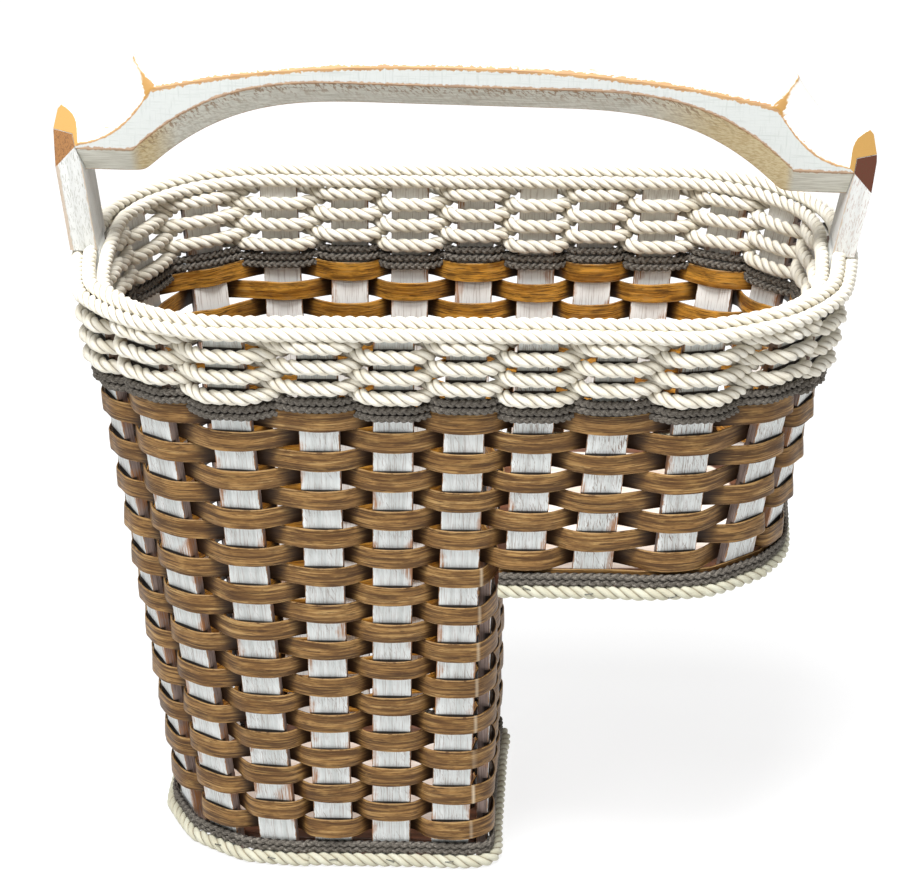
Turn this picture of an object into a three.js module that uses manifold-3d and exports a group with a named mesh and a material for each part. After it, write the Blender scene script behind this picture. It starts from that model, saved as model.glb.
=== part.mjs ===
// A stair basket, made to stand across one step of a staircase. Its tall leg stands on the lower
// step and its shallow end on the step above. Flat wooden stakes rise from two base boards, wood
// strips weave in and out round them, rope and braid finish the top, and a carved handle joins the
// two ends. Sizes are in millimetres, with X along the basket, Y from front to back and Z up. The
// origin is under the lower board, below the middle of the rim.

import * as THREE from "three";
import { mergeVertices } from "three/addons/utils/BufferGeometryUtils.js";
import Module from "manifold-3d";

// Body: the line through the middle of the stakes, at each base and at the rim
const STAIR_RISE = 190; // from the lower base to the upper one
const RIM_LINE_HEIGHT = 350; // height at which the rim line is measured
const RIM_HALF_LENGTH = 210;
const RIM_HALF_DEPTH = 123;
const RIM_END_FLAT = 29; // half of the straight part across each end
const RIM_CORNER = RIM_HALF_DEPTH - RIM_END_FLAT;
const LEG_LEFT = -169.5;
const LEG_RISER = 11; // the foot of the wall that meets the stair
const RISER_TOP = 15; // and its top, which leans a little out under the shelf
const LEG_HALF_DEPTH = 75.6;
const LEG_END_FLAT = 4.6;
const LEG_CORNER = LEG_HALF_DEPTH - LEG_END_FLAT;
const SHELF_RIGHT = 176;
const SHELF_HALF_DEPTH = 100.75;
const SHELF_END_FLAT = 35;
const SHELF_CORNER = SHELF_HALF_DEPTH - SHELF_END_FLAT;

// Stakes: flat slats. They were set by hand and stand a little unevenly, so each has its own place,
// in per cent of the way round one half of the rim or of a base, from left to right.
const STAKE_WIDTH = 22.4;
const STAKE_THICK = 6.5;
const STAKE_TOP = 355;
const STAKE_TURN_STEP = 2; // degrees of turn in each short length of a stake
const FRONT_RIM_PLACES = [12.6, 20.1, 28.6, 37.3, 44.5, 51.3, 57.9, 65.3, 73.1, 82.6, 88.3];
const BACK_RIM_PLACES = [6, 12, 21.3, 29.9, 37.3, 43.6, 50.5, 56.9, 63.1, 69.5, 76.9, 83.8, 91.9];
const LEG_FRONT_PLACES = [16, 31.9, 47.4, 61.4, 76.3, 91.6];
const LEG_BACK_PLACES = [12.2, 24.2, 36.2, 48.4, 61.1, 76.4, 90.6];
const SHELF_FRONT_PLACES = [9.4, 25.3, 44.6, 60.8, 72.8];
const SHELF_BACK_PLACES = [8.4, 21.9, 35.9, 50.7, 63.2, 79.9];
const RISER_STAKES = 4;
const RISER_FOOT_INSET = 15.6; // from the leg's front line to the first riser stake
const RISER_TOP_INSET = 20.3;

// Woven strips
const WEAVER_WIDTH = 12.26;
const WEAVER_THICK = 1.3;
const WEAVER_PITCH = 12.56;
const WEAVER_FIRST = 25.6; // height of the lowest row
const LEG_ROWS_PER_NODE = 3;
const BODY_ROWS_PER_NODE = 2;
const TIE_THICK = 0.8;
const TIE_LAP = 1;

// Rope and braid
const ROW_ROPE_THICK = 8.3;
const ROW_ROPE_HEIGHT = 5.9; // less than its thickness, as the rows are pressed together
const ROW_ROPE_PITCH = 6.3;
const ROW_ROPE_TOP = STAKE_TOP - 5;
const ROPE_ROWS = 6;
const CORD_THICK = 4;
const CORD_HEIGHT = 2.9;
const CORD_PITCH = 3.8;
const RIM_ROPE_DIAMETER = 8;
const RIM_ROPE_HEIGHT = STAKE_TOP + 2.6;
const FOOT_ROPE_DIAMETER = 8;
const FOOT_BRAID_HEIGHT = 7.6;
const FOOT_BRAID_THICK = 3;
const FOOT_BAND_HEIGHT = 9; // thin wood band between the upper braid and the stakes
const ROPE_SIDES = 6;
const ROW_ROPE_SIDES = 5;

// Boards
const LOWER_BOARD_THICK = 12;
const UPPER_BOARD_THICK = 6;
const BOARD_CORNER = 6;

// Handle
const UPRIGHT_WIDTH = 35;
const UPRIGHT_THICK = 14;
const TAIL_WIDTH = 24; // the upright's tail, cut down to be woven in
const TAIL_THICK = 8;
const BAR_MIDDLE_WIDTH = 38;
const BAR_CLEARANCE = 93.2; // from the stakes' tops to the middle of the bar's underside
const BAR_DROP = 44.6; // how far the underside lies lower at the ends
const BAR_UNDER_MIDDLE = STAKE_TOP + BAR_CLEARANCE;
const BAR_UNDER_END = BAR_UNDER_MIDDLE - BAR_DROP;
const BAR_CHAMFER_MIDDLE = BAR_UNDER_MIDDLE + 13.5;
const BAR_CHAMFER_END = BAR_UNDER_END + 14.4;
const BAR_EDGE_MIDDLE = BAR_UNDER_MIDDLE + 24.1;
const BAR_EDGE_HORN = BAR_EDGE_MIDDLE - 18.4;
const BAR_EDGE_END = BAR_UNDER_END + 17;
const BAR_CROWN = 14; // rise of the rounded top above its edges
const BAR_UNDER_WIDTH = 21;
const BAR_OVERHANG = 22.5; // past the stake line at each end
const BAR_HALF_LENGTH = RIM_HALF_LENGTH + BAR_OVERHANG;
const HORN_TO_END = 57.5; // along the bar's edges
const HORN_AT = BAR_HALF_LENGTH - HORN_TO_END;
const HORN_SWEEP = 12.5; // how far the horn's crest runs out at the middle
const SCOOP_LENGTH = 50;
const UNDER_CURVE_TO_END = 53;
const CHAMFER_CURVE_TO_END = 46.5;
const UNDER_CURVE_LENGTH = 131;
const SEAM_HEIGHT = BAR_EDGE_END + 4.1;
const FACET_FACES = new THREE.Vector3(0.495, 0.747, 0.441).normalize(); // out, to the side and up
const FACET_AT = new THREE.Vector3(BAR_HALF_LENGTH - 14.1, 10.2, BAR_EDGE_END + 10.8);
const HANDLE_SHIFT = 1.5; // to the right of the rim's middle
const HANDLE_TILT = 1.55; // degrees, the right end lower

// Clearances between touching pieces
const FIT = 0.3;
const STRIP_OVERHANG = 1.2; // how far a strip runs straight past a stake's edge
const CORNER_REACH = 5; // how far past a stake's middle it runs before it cuts a corner
const ROPE_OVERHANG = 2;
const FOOT_OVERHANG = 3;

const wasm = await Module();
wasm.setup();

const basket = new THREE.Group();
basket.name = "stair_basket";

const FINISHES = {
  whitewash: { color: 0xd9dad8, roughness: 0.75 },
  weaver: { color: 0x7a5526, roughness: 0.45 },
  rope: { color: 0xe6dfcb, roughness: 0.95 },
  braid: { color: 0x4c4a49, roughness: 0.95 },
  board: { color: 0x5e3f24, roughness: 0.6 },
};

function addMesh(name, geometry, finish) {
  geometry.computeVertexNormals();
  const mesh = new THREE.Mesh(geometry, new THREE.MeshStandardMaterial(FINISHES[finish]));
  mesh.name = name;
  basket.add(mesh);
  return mesh;
}

// A solid through a row of like sections, joined end to end or capped.
function loft(sections, closed) {
  const count = sections[0].length;
  const positions = [];
  const face = (a, b, c) => positions.push(...a.toArray(), ...b.toArray(), ...c.toArray());
  const spans = closed ? sections.length : sections.length - 1;
  for (let i = 0; i < spans; i++) {
    const here = sections[i];
    const next = sections[(i + 1) % sections.length];
    for (let k = 0; k < count; k++) {
      const m = (k + 1) % count;
      face(here[k], next[k], here[m]);
      face(next[k], next[m], here[m]);
    }
  }
  if (!closed) {
    const first = sections[0];
    const last = sections[sections.length - 1];
    for (let k = 1; k < count - 1; k++) {
      face(first[0], first[k], first[k + 1]);
      face(last[0], last[k + 1], last[k]);
    }
  }
  const geometry = new THREE.BufferGeometry();
  geometry.setAttribute("position", new THREE.Float32BufferAttribute(positions, 3));
  return geometry;
}

function solidOf(geometry) {
  const bare = geometry.clone();
  bare.deleteAttribute("normal");
  bare.deleteAttribute("uv");
  const merged = mergeVertices(bare, 1e-4);
  return new wasm.Manifold(
    new wasm.Mesh({
      numProp: 3,
      vertProperties: merged.attributes.position.array,
      triVerts: new Uint32Array(merged.index.array),
    }),
  );
}

function geometryOf(solid) {
  const mesh = solid.getMesh();
  const geometry = new THREE.BufferGeometry();
  geometry.setAttribute("position", new THREE.BufferAttribute(mesh.vertProperties, 3));
  geometry.setIndex(new THREE.BufferAttribute(mesh.triVerts, 1));
  return geometry.toNonIndexed();
}

// Plan outlines of the front half, from the left end's middle round to the right one's. A distance
// along one gives a point of the stake line and its outward direction.
const rimPath = new THREE.Path()
  .moveTo(-RIM_HALF_LENGTH, 0)
  .lineTo(-RIM_HALF_LENGTH, RIM_CORNER - RIM_HALF_DEPTH)
  .absarc(RIM_CORNER - RIM_HALF_LENGTH, RIM_CORNER - RIM_HALF_DEPTH, RIM_CORNER, Math.PI, 1.5 * Math.PI)
  .lineTo(RIM_HALF_LENGTH - RIM_CORNER, -RIM_HALF_DEPTH)
  .absarc(RIM_HALF_LENGTH - RIM_CORNER, RIM_CORNER - RIM_HALF_DEPTH, RIM_CORNER, -0.5 * Math.PI, 0)
  .lineTo(RIM_HALF_LENGTH, 0);

const legPath = new THREE.Path()
  .moveTo(LEG_LEFT, 0)
  .lineTo(LEG_LEFT, LEG_CORNER - LEG_HALF_DEPTH)
  .absarc(LEG_LEFT + LEG_CORNER, LEG_CORNER - LEG_HALF_DEPTH, LEG_CORNER, Math.PI, 1.5 * Math.PI)
  .lineTo(LEG_RISER, -LEG_HALF_DEPTH);

const shelfPath = new THREE.Path()
  .moveTo(RISER_TOP, -SHELF_HALF_DEPTH)
  .lineTo(SHELF_RIGHT - SHELF_CORNER, -SHELF_HALF_DEPTH)
  .absarc(SHELF_RIGHT - SHELF_CORNER, SHELF_CORNER - SHELF_HALF_DEPTH, SHELF_CORNER, -0.5 * Math.PI, 0)
  .lineTo(SHELF_RIGHT, 0);

function along(path, distance, back) {
  const share = distance / path.getLength();
  const point = path.getPointAt(share);
  const tangent = path.getTangentAt(share);
  const flip = back ? -1 : 1;
  return {
    point: new THREE.Vector2(point.x, flip * point.y),
    normal: new THREE.Vector2(tangent.y, -flip * tangent.x),
  };
}

// A stake leans in a straight line from its foot to the rim line, and turns a little on the way
// where the base and the rim face differently. over says whether even rows pass outside it.
function makeStake(name, foot, footHeight, top, topHeight, over) {
  const stake = { name, foot, footHeight, top, topHeight, over };
  stake.width = STAKE_WIDTH;
  stake.thick = STAKE_THICK;
  stake.shift = 0; // how far the middle of its thickness lies outside the stake line
  stake.from = footHeight + FIT;
  stake.to = STAKE_TOP;
  return stake;
}

// The point of a stake at a height, some way across its face and out from the middle of it.
function stakePoint(stake, height, across, out) {
  const share = (height - stake.footHeight) / (stake.topHeight - stake.footHeight);
  const place = stake.foot.point.clone().lerp(stake.top.point, share);
  const normal = stake.foot.normal.clone().lerp(stake.top.normal, share).normalize();
  place.addScaledVector(normal, out + stake.shift);
  place.x -= normal.y * across;
  place.y += normal.x * across;
  return new THREE.Vector3(place.x, place.y, height);
}

const twoDigits = (number) => String(number).padStart(2, "0");

function makeWallStakes(back) {
  const rimPlaces = back ? BACK_RIM_PLACES : FRONT_RIM_PLACES;
  const legPlaces = back ? LEG_BACK_PLACES : LEG_FRONT_PLACES;
  const shelfPlaces = back ? SHELF_BACK_PLACES : SHELF_FRONT_PLACES;
  const at = (path, place) => along(path, (path.getLength() * place) / 100, back);
  return rimPlaces.map((place, i) => {
    const onLeg = i < legPlaces.length;
    const foot = onLeg ? at(legPath, legPlaces[i]) : at(shelfPath, shelfPlaces[i - legPlaces.length]);
    const name = (back ? "stake_back_" : "stake_front_") + twoDigits(i + 1);
    const footHeight = onLeg ? 0 : STAIR_RISE;
    return makeStake(name, foot, footHeight, at(rimPath, place), RIM_LINE_HEIGHT, i % 2 === 1);
  });
}

function makeUpright(name, path, distance, footHeight, rimDistance) {
  const foot = along(path, distance, false);
  const top = along(rimPath, rimDistance, false);
  const upright = makeStake(name, foot, footHeight, top, RIM_LINE_HEIGHT, true);
  upright.width = TAIL_WIDTH;
  upright.thick = TAIL_THICK;
  upright.shift = (TAIL_THICK - STAKE_THICK) / 2;
  return upright;
}

// Heights of the foot pieces and cords between which the strips are woven, and the rows that fit
const footRopeMiddle = FIT + FOOT_ROPE_DIAMETER / 2;
const bandMiddle = STAIR_RISE + FOOT_ROPE_DIAMETER + 2 * FIT + FOOT_BAND_HEIGHT / 2;
const bandTop = bandMiddle + FOOT_BAND_HEIGHT / 2;
const ropesBottom = ROW_ROPE_TOP - ROW_ROPE_PITCH * (ROPE_ROWS - 1) - ROW_ROPE_HEIGHT / 2;
const cordUpperMiddle = ropesBottom - FIT - CORD_HEIGHT / 2;
const cordLowerMiddle = cordUpperMiddle - CORD_PITCH;
const stripsBottom = WEAVER_FIRST - WEAVER_WIDTH / 2;
const stripsTop = cordLowerMiddle - CORD_HEIGHT / 2 - FIT;
const legRows = Math.ceil((bandTop - stripsBottom) / WEAVER_PITCH);
const bodyRows = Math.floor((stripsTop - stripsBottom + WEAVER_PITCH - WEAVER_WIDTH) / WEAVER_PITCH) - legRows;
const rowMiddle = (row) => WEAVER_FIRST + WEAVER_PITCH * row;

function makeRiserStakes() {
  const stakes = [];
  const normal = new THREE.Vector2(1, 0);
  const stairDepth = THREE.MathUtils.lerp(LEG_HALF_DEPTH, RIM_HALF_DEPTH, STAIR_RISE / RIM_LINE_HEIGHT);
  for (let i = 0; i < RISER_STAKES; i++) {
    const place = (2 * i) / (RISER_STAKES - 1) - 1;
    const footPlace = place * (LEG_HALF_DEPTH - RISER_FOOT_INSET);
    const topPlace = place * (stairDepth - RISER_TOP_INSET);
    const foot = { point: new THREE.Vector2(LEG_RISER, footPlace), normal };
    const top = { point: new THREE.Vector2(RISER_TOP, topPlace), normal };
    const stake = makeStake("stake_riser_" + (i + 1), foot, 0, top, STAIR_RISE, i % 2 === 0);
    stake.to = rowMiddle(legRows - 1) + WEAVER_WIDTH / 2;
    stakes.push(stake);
  }
  return stakes;
}

const frontStakes = makeWallStakes(false);
const backStakes = makeWallStakes(true);
const riserStakes = makeRiserStakes();
const uprightLeft = makeUpright("handle_upright_left", legPath, 0, 0, 0);
const uprightRight = makeUpright(
  "handle_upright_right",
  shelfPath,
  shelfPath.getLength(),
  STAIR_RISE,
  rimPath.getLength(),
);

// The stakes in the order in which a weaver meets them, round the leg and round the whole body. A
// strip passes both stakes at each corner of the leg on the same side, and inside them it cuts the
// corner. turn says at which end of a stake that corner lies.
const legFront = frontStakes.slice(0, LEG_FRONT_PLACES.length);
const legBack = backStakes.slice(0, LEG_BACK_PLACES.length).reverse();
const legRing = [
  uprightLeft,
  ...legFront.slice(0, -1),
  { ...legFront[legFront.length - 1], turn: 1 },
  { ...riserStakes[0], turn: -1 },
  ...riserStakes.slice(1, -1),
  { ...riserStakes[RISER_STAKES - 1], turn: 1 },
  { ...legBack[0], turn: -1 },
  ...legBack.slice(1),
];
const bodyRing = [uprightLeft, ...frontStakes, uprightRight, ...backStakes.slice().reverse()];
const shelfRing = [
  ...frontStakes.slice(LEG_FRONT_PLACES.length),
  uprightRight,
  ...backStakes.slice(LEG_BACK_PLACES.length).reverse(),
];

// A slat between two heights. One that turns is cut into short lengths, so that its faces stay true.
function slat(stake, width, inner, outer, from, to) {
  const turn = THREE.MathUtils.radToDeg(Math.acos(Math.min(1, stake.foot.normal.dot(stake.top.normal))));
  const steps = Math.max(1, Math.ceil(turn / STAKE_TURN_STEP));
  const sections = [];
  for (let i = 0; i <= steps; i++) {
    const height = THREE.MathUtils.lerp(from, to, i / steps);
    sections.push([
      stakePoint(stake, height, width / 2, outer),
      stakePoint(stake, height, -width / 2, outer),
      stakePoint(stake, height, -width / 2, inner),
      stakePoint(stake, height, width / 2, inner),
    ]);
  }
  return loft(sections, false);
}

for (const stake of [...frontStakes, ...backStakes, ...riserStakes]) {
  const half = stake.thick / 2;
  addMesh(stake.name, slat(stake, stake.width, -half, half, stake.from, stake.to), "whitewash");
}

// Sections, as distances out from the middle of a strand and up from it, turning so that faces
// point outwards
function flatSection(thick, height) {
  return [
    [thick / 2, -height / 2],
    [thick / 2, height / 2],
    [-thick / 2, height / 2],
    [-thick / 2, -height / 2],
  ];
}

function ropeSection(thick, height, sides) {
  const points = [];
  for (let i = 0; i < sides; i++) {
    const angle = (2 * Math.PI * i) / sides;
    points.push([(thick / 2) * Math.cos(angle), (height / 2) * Math.sin(angle)]);
  }
  return points;
}

// One strand's sections at a stake: side is 1 outside it, -1 inside it and 0 over its top. What lies
// between the strand and the stake holds it off by standoff.
function strandAt(stake, height, side, section, thick, overhang, ends, standoff = 0) {
  const out = side * (stake.thick / 2 + FIT + standoff + thick / 2);
  return ends.map((end) => {
    const cutsCorner = side < 0 && stake.turn === end;
    const across = end * (cutsCorner ? CORNER_REACH : stake.width / 2 + overhang);
    return section.map(([away, up]) => stakePoint(stake, height + up, across, out + away));
  });
}

const BOTH_ENDS = [-1, 1];

// A row that weaves in and out: an even row passes outside the stakes marked over.
function wovenRow(ring, height, even, section, thick, overhang) {
  const sections = ring.flatMap((stake) =>
    strandAt(stake, height, stake.over === even ? 1 : -1, section, thick, overhang, BOTH_ENDS),
  );
  return loft(sections, true);
}

// Strips. Rows share a node a few at a time, held together by a small tie where two rows cross
// between two stakes of the back wall.
const TIE_STAKES = [backStakes[4], backStakes[3]];

function tieAt(height) {
  const [before, after] = TIE_STAKES;
  const reach = STAKE_WIDTH / 2 + STRIP_OVERHANG;
  const middle = stakePoint(before, height, reach, 0).lerp(stakePoint(after, height, -reach, 0), 0.5);
  const tie = new THREE.BoxGeometry(TIE_THICK, TIE_THICK, WEAVER_PITCH - WEAVER_WIDTH + 2 * TIE_LAP);
  return tie.translate(middle.x, middle.y, middle.z);
}

function addWeavers(prefix, ring, firstRow, rows, perNode) {
  const section = flatSection(WEAVER_THICK, WEAVER_WIDTH);
  for (let start = 0; start < rows; start += perNode) {
    let solid = null;
    for (let row = start; row < Math.min(rows, start + perNode); row++) {
      const number = firstRow + row;
      const height = rowMiddle(number);
      const strip = wovenRow(ring, height, number % 2 === 0, section, WEAVER_THICK, STRIP_OVERHANG);
      const made = solidOf(strip);
      solid = solid ? solid.add(solidOf(tieAt(height - WEAVER_PITCH / 2))).add(made) : made;
    }
    addMesh(prefix + (start / perNode + 1), geometryOf(solid), "weaver");
  }
}

addWeavers("weavers_leg_", legRing, 0, legRows, LEG_ROWS_PER_NODE);
addWeavers("weavers_body_", bodyRing, legRows, bodyRows, BODY_ROWS_PER_NODE);

// Rope rows under the rim, and two thin grey cords below them
for (let row = 0; row < ROPE_ROWS; row++) {
  const height = ROW_ROPE_TOP - ROW_ROPE_PITCH * row;
  const section = ropeSection(ROW_ROPE_THICK, ROW_ROPE_HEIGHT, ROW_ROPE_SIDES);
  const rope = wovenRow(bodyRing, height, row % 2 === 0, section, ROW_ROPE_THICK, ROPE_OVERHANG);
  addMesh("rope_row_" + (row + 1), rope, "rope");
}

const cordSection = flatSection(CORD_THICK, CORD_HEIGHT);
const cordAt = (height, even) => wovenRow(bodyRing, height, even, cordSection, CORD_THICK, ROPE_OVERHANG);
addMesh("grey_cord_upper", cordAt(cordUpperMiddle, true), "braid");
addMesh("grey_cord_lower", cordAt(cordLowerMiddle, false), "braid");

// Rim: one rope outside all the stakes, one inside, and a filler laid in the groove between them,
// which stops at each upright
function laidRope(stakes, height, side, diameter, closed) {
  const section = ropeSection(diameter, diameter, ROPE_SIDES);
  const sections = stakes.flatMap((stake) => {
    const first = !closed && stake === stakes[0] && stake.shift > 0;
    const last = !closed && stake === stakes[stakes.length - 1] && stake.shift > 0;
    const ends = first ? [1] : last ? [-1] : BOTH_ENDS;
    const overhang = first || last ? (UPRIGHT_WIDTH - TAIL_WIDTH) / 2 + FIT : 0;
    return strandAt(stake, height, side, section, diameter, overhang, ends);
  });
  return loft(sections, closed);
}

const rimOffset = STAKE_THICK / 2 + FIT + RIM_ROPE_DIAMETER / 2;
const fillerRise = Math.sqrt(Math.max(0, (RIM_ROPE_DIAMETER + 2 * FIT) ** 2 - rimOffset ** 2));
const fillerHeight = RIM_ROPE_HEIGHT + fillerRise;
const backward = backStakes.slice().reverse();
addMesh("rim_rope_outer", laidRope(bodyRing, RIM_ROPE_HEIGHT, 1, RIM_ROPE_DIAMETER, true), "rope");
addMesh("rim_rope_inner", laidRope(bodyRing, RIM_ROPE_HEIGHT, -1, RIM_ROPE_DIAMETER, true), "rope");
addMesh(
  "rim_filler_front",
  laidRope([uprightLeft, ...frontStakes, uprightRight], fillerHeight, 0, RIM_ROPE_DIAMETER, false),
  "rope",
);
addMesh(
  "rim_filler_back",
  laidRope([uprightRight, ...backward, uprightLeft], fillerHeight, 0, RIM_ROPE_DIAMETER, false),
  "rope",
);

// Each foot has a rope round the ends of the stakes and a flat braid on top of it. The upper ones
// stop where they meet the leg, and a thin wood band lies between the upper braid and the stakes.
function laidFoot(ring, height, section, thick, closed, standoff) {
  const sections = ring.flatMap((stake) =>
    strandAt(stake, height, 1, section, thick, FOOT_OVERHANG, BOTH_ENDS, standoff),
  );
  return loft(sections, closed);
}

function addFoot(level, ring, base, closed, standoff) {
  const ropeHeight = base + footRopeMiddle;
  const braidHeight = ropeHeight + (FOOT_ROPE_DIAMETER + FOOT_BRAID_HEIGHT) / 2 + FIT;
  const rope = ropeSection(FOOT_ROPE_DIAMETER, FOOT_ROPE_DIAMETER, ROPE_SIDES);
  const braid = flatSection(FOOT_BRAID_THICK, FOOT_BRAID_HEIGHT);
  addMesh("foot_rope_" + level, laidFoot(ring, ropeHeight, rope, FOOT_ROPE_DIAMETER, closed, 0), "rope");
  addMesh(
    "foot_braid_" + level,
    laidFoot(ring, braidHeight, braid, FOOT_BRAID_THICK, closed, standoff),
    "braid",
  );
}

const bandSection = flatSection(WEAVER_THICK, FOOT_BAND_HEIGHT);
addFoot("lower", legRing, 0, true, 0);
addFoot("upper", shelfRing, STAIR_RISE, false, WEAVER_THICK + FIT);
addMesh(
  "foot_band_upper",
  laidFoot(shelfRing, bandMiddle, bandSection, WEAVER_THICK, false, 0),
  "weaver",
);

// Boards: each fills the space inside the stakes' feet.
const boardInset = STAKE_THICK / 2 + FIT;

function boardShape(left, right, halfDepth, leftCorner, rightCorner) {
  const shape = new THREE.Shape();
  shape.moveTo(left + leftCorner, -halfDepth);
  shape.lineTo(right - rightCorner, -halfDepth);
  shape.absarc(right - rightCorner, rightCorner - halfDepth, rightCorner, -0.5 * Math.PI, 0);
  shape.lineTo(right, halfDepth - rightCorner);
  shape.absarc(right - rightCorner, halfDepth - rightCorner, rightCorner, 0, 0.5 * Math.PI);
  shape.lineTo(left + leftCorner, halfDepth);
  shape.absarc(left + leftCorner, halfDepth - leftCorner, leftCorner, 0.5 * Math.PI, Math.PI);
  shape.lineTo(left, leftCorner - halfDepth);
  shape.absarc(left + leftCorner, leftCorner - halfDepth, leftCorner, Math.PI, 1.5 * Math.PI);
  return shape;
}

function addBoard(name, shape, thick, height) {
  const geometry = new THREE.ExtrudeGeometry(shape, { depth: thick, bevelEnabled: false, curveSegments: 6 });
  const mesh = addMesh(name, geometry, "board");
  mesh.position.z = height;
}

addBoard(
  "board_lower",
  boardShape(
    LEG_LEFT + boardInset,
    LEG_RISER - boardInset,
    LEG_HALF_DEPTH - boardInset,
    LEG_CORNER - boardInset,
    BOARD_CORNER,
  ),
  LOWER_BOARD_THICK,
  0,
);
addBoard(
  "board_upper",
  boardShape(
    RISER_TOP + STAKE_THICK / 2 + WEAVER_THICK + 2 * FIT,
    SHELF_RIGHT - boardInset,
    SHELF_HALF_DEPTH - boardInset,
    BOARD_CORNER,
    SHELF_CORNER - boardInset,
  ),
  UPPER_BOARD_THICK,
  STAIR_RISE,
);

// Handle. The bar is an arch with a rounded top, a narrow flat face front and back, and a chamfer
// below it. Near each end the top drops from a horn into a scoop.
const easeOut = (share) => 1 - (1 - THREE.MathUtils.clamp(share, 0, 1)) ** 3;

function barEdge(x) {
  if (x <= HORN_AT) return BAR_EDGE_MIDDLE - (BAR_EDGE_MIDDLE - BAR_EDGE_HORN) * (x / HORN_AT) ** 2.3;
  const left = Math.max(0, 1 - (x - HORN_AT) / SCOOP_LENGTH);
  return BAR_EDGE_END + (BAR_EDGE_HORN - BAR_EDGE_END) * left ** 2.6;
}

function barUnder(x) {
  const share = (BAR_HALF_LENGTH - UNDER_CURVE_TO_END - x) / UNDER_CURVE_LENGTH;
  return BAR_UNDER_END + (BAR_UNDER_MIDDLE - BAR_UNDER_END) * easeOut(share);
}

function barChamfer(x) {
  const share = (BAR_HALF_LENGTH - CHAMFER_CURVE_TO_END - x) / UNDER_CURVE_LENGTH;
  return BAR_CHAMFER_END + (BAR_CHAMFER_MIDDLE - BAR_CHAMFER_END) * easeOut(share);
}

function barSection(side, x) {
  const toEnd = THREE.MathUtils.smoothstep(x, 0, HORN_AT);
  const half = THREE.MathUtils.lerp(BAR_MIDDLE_WIDTH, UPRIGHT_WIDTH, toEnd) / 2;
  const sweep = HORN_SWEEP * toEnd;
  const edge = barEdge(x);
  const at = (y, z, out) => new THREE.Vector3(side * (x + out), y, z);
  return [
    at(BAR_UNDER_WIDTH / 2, barUnder(x), 0),
    at(-BAR_UNDER_WIDTH / 2, barUnder(x), 0),
    at(-half, barChamfer(x), 0),
    at(-half, edge, 0),
    at(-half * 0.7, edge + BAR_CROWN * 0.65, sweep * 0.55),
    at(-half * 0.35, edge + BAR_CROWN * 0.92, sweep * 0.9),
    at(half * 0.35, edge + BAR_CROWN * 0.92, sweep * 0.9),
    at(half * 0.7, edge + BAR_CROWN * 0.65, sweep * 0.55),
    at(half, edge, 0),
    at(half, barChamfer(x), 0),
  ];
}

const ARCH_STEPS = 6;
const SCOOP_STEPS = 4;
const barPlaces = [];
for (let i = 0; i < ARCH_STEPS; i++) barPlaces.push((HORN_AT * i) / ARCH_STEPS);
for (let i = 0; i <= SCOOP_STEPS; i++) barPlaces.push(HORN_AT + (SCOOP_LENGTH * i) / SCOOP_STEPS);
barPlaces.push(BAR_HALF_LENGTH + UPRIGHT_THICK);
const barLoft = loft(
  [
    ...barPlaces.slice(1).reverse().map((x) => barSection(-1, x)),
    ...barPlaces.map((x) => barSection(1, x)),
  ],
  false,
);

// Bar and upright end in one flat face, and a slanting flat facet takes off each of its corners.
// A facet starts at the bar's crown and runs out downwards through the upright.
function trimEnds(solid) {
  let trimmed = solid;
  for (const end of [-1, 1]) {
    trimmed = trimmed.trimByPlane([-end, 0, 0], -BAR_HALF_LENGTH);
    for (const side of [-1, 1]) {
      const inward = [-end * FACET_FACES.x, -side * FACET_FACES.y, -FACET_FACES.z];
      trimmed = trimmed.trimByPlane(inward, -FACET_FACES.dot(FACET_AT));
    }
  }
  return trimmed;
}

// Bar and uprights are cut in the handle's own frame, which tilts about the middle of the bar.
const handle = new THREE.Group();
handle.position.set(HANDLE_SHIFT, 0, BAR_UNDER_MIDDLE);
handle.rotation.y = THREE.MathUtils.degToRad(HANDLE_TILT);
handle.updateMatrix();
basket.add(handle);
const toBar = new THREE.Matrix4().makeTranslation(0, 0, BAR_UNDER_MIDDLE).multiply(handle.matrix.clone().invert());

// A box in the handle's frame, below the seam between the bar and its uprights
function belowSeam(gap) {
  const size = 4 * BAR_HALF_LENGTH;
  return solidOf(new THREE.BoxGeometry(size, size, size).translate(0, 0, SEAM_HEIGHT + gap - size / 2));
}

const shoulder = RIM_ROPE_HEIGHT + RIM_ROPE_DIAMETER / 2 + FIT;
let bar = trimEnds(solidOf(barLoft));
for (const upright of [uprightLeft, uprightRight]) {
  const inner = -upright.thick / 2;
  const overSeam = SEAM_HEIGHT + UPRIGHT_WIDTH;
  const blade = (width, from, outer, growth) =>
    solidOf(slat(upright, width, inner - growth, outer, from, overSeam).applyMatrix4(toBar));
  const tail = solidOf(
    slat(upright, TAIL_WIDTH, inner, -inner, upright.from, shoulder + UPRIGHT_THICK).applyMatrix4(toBar),
  );
  const body = blade(UPRIGHT_WIDTH, shoulder, inner + UPRIGHT_THICK, 0);
  const solid = trimEnds(body.add(tail).intersect(belowSeam(0)));
  const cutter = blade(3 * UPRIGHT_WIDTH, shoulder, 4 * UPRIGHT_THICK, FIT).intersect(belowSeam(FIT));
  bar = bar.subtract(cutter);
  const geometry = geometryOf(solid).translate(0, 0, -BAR_UNDER_MIDDLE);
  handle.add(addMesh(upright.name, geometry, "whitewash"));
}
handle.add(addMesh("handle_bar", geometryOf(bar).translate(0, 0, -BAR_UNDER_MIDDLE), "whitewash"));

export default basket;
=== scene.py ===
"""A stair basket, put together in the order in which it is made, on a white floor."""

import math
import random

import bmesh
import bpy
import numpy as np
from mathutils import Matrix, Vector
from mathutils.kdtree import KDTree


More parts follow.
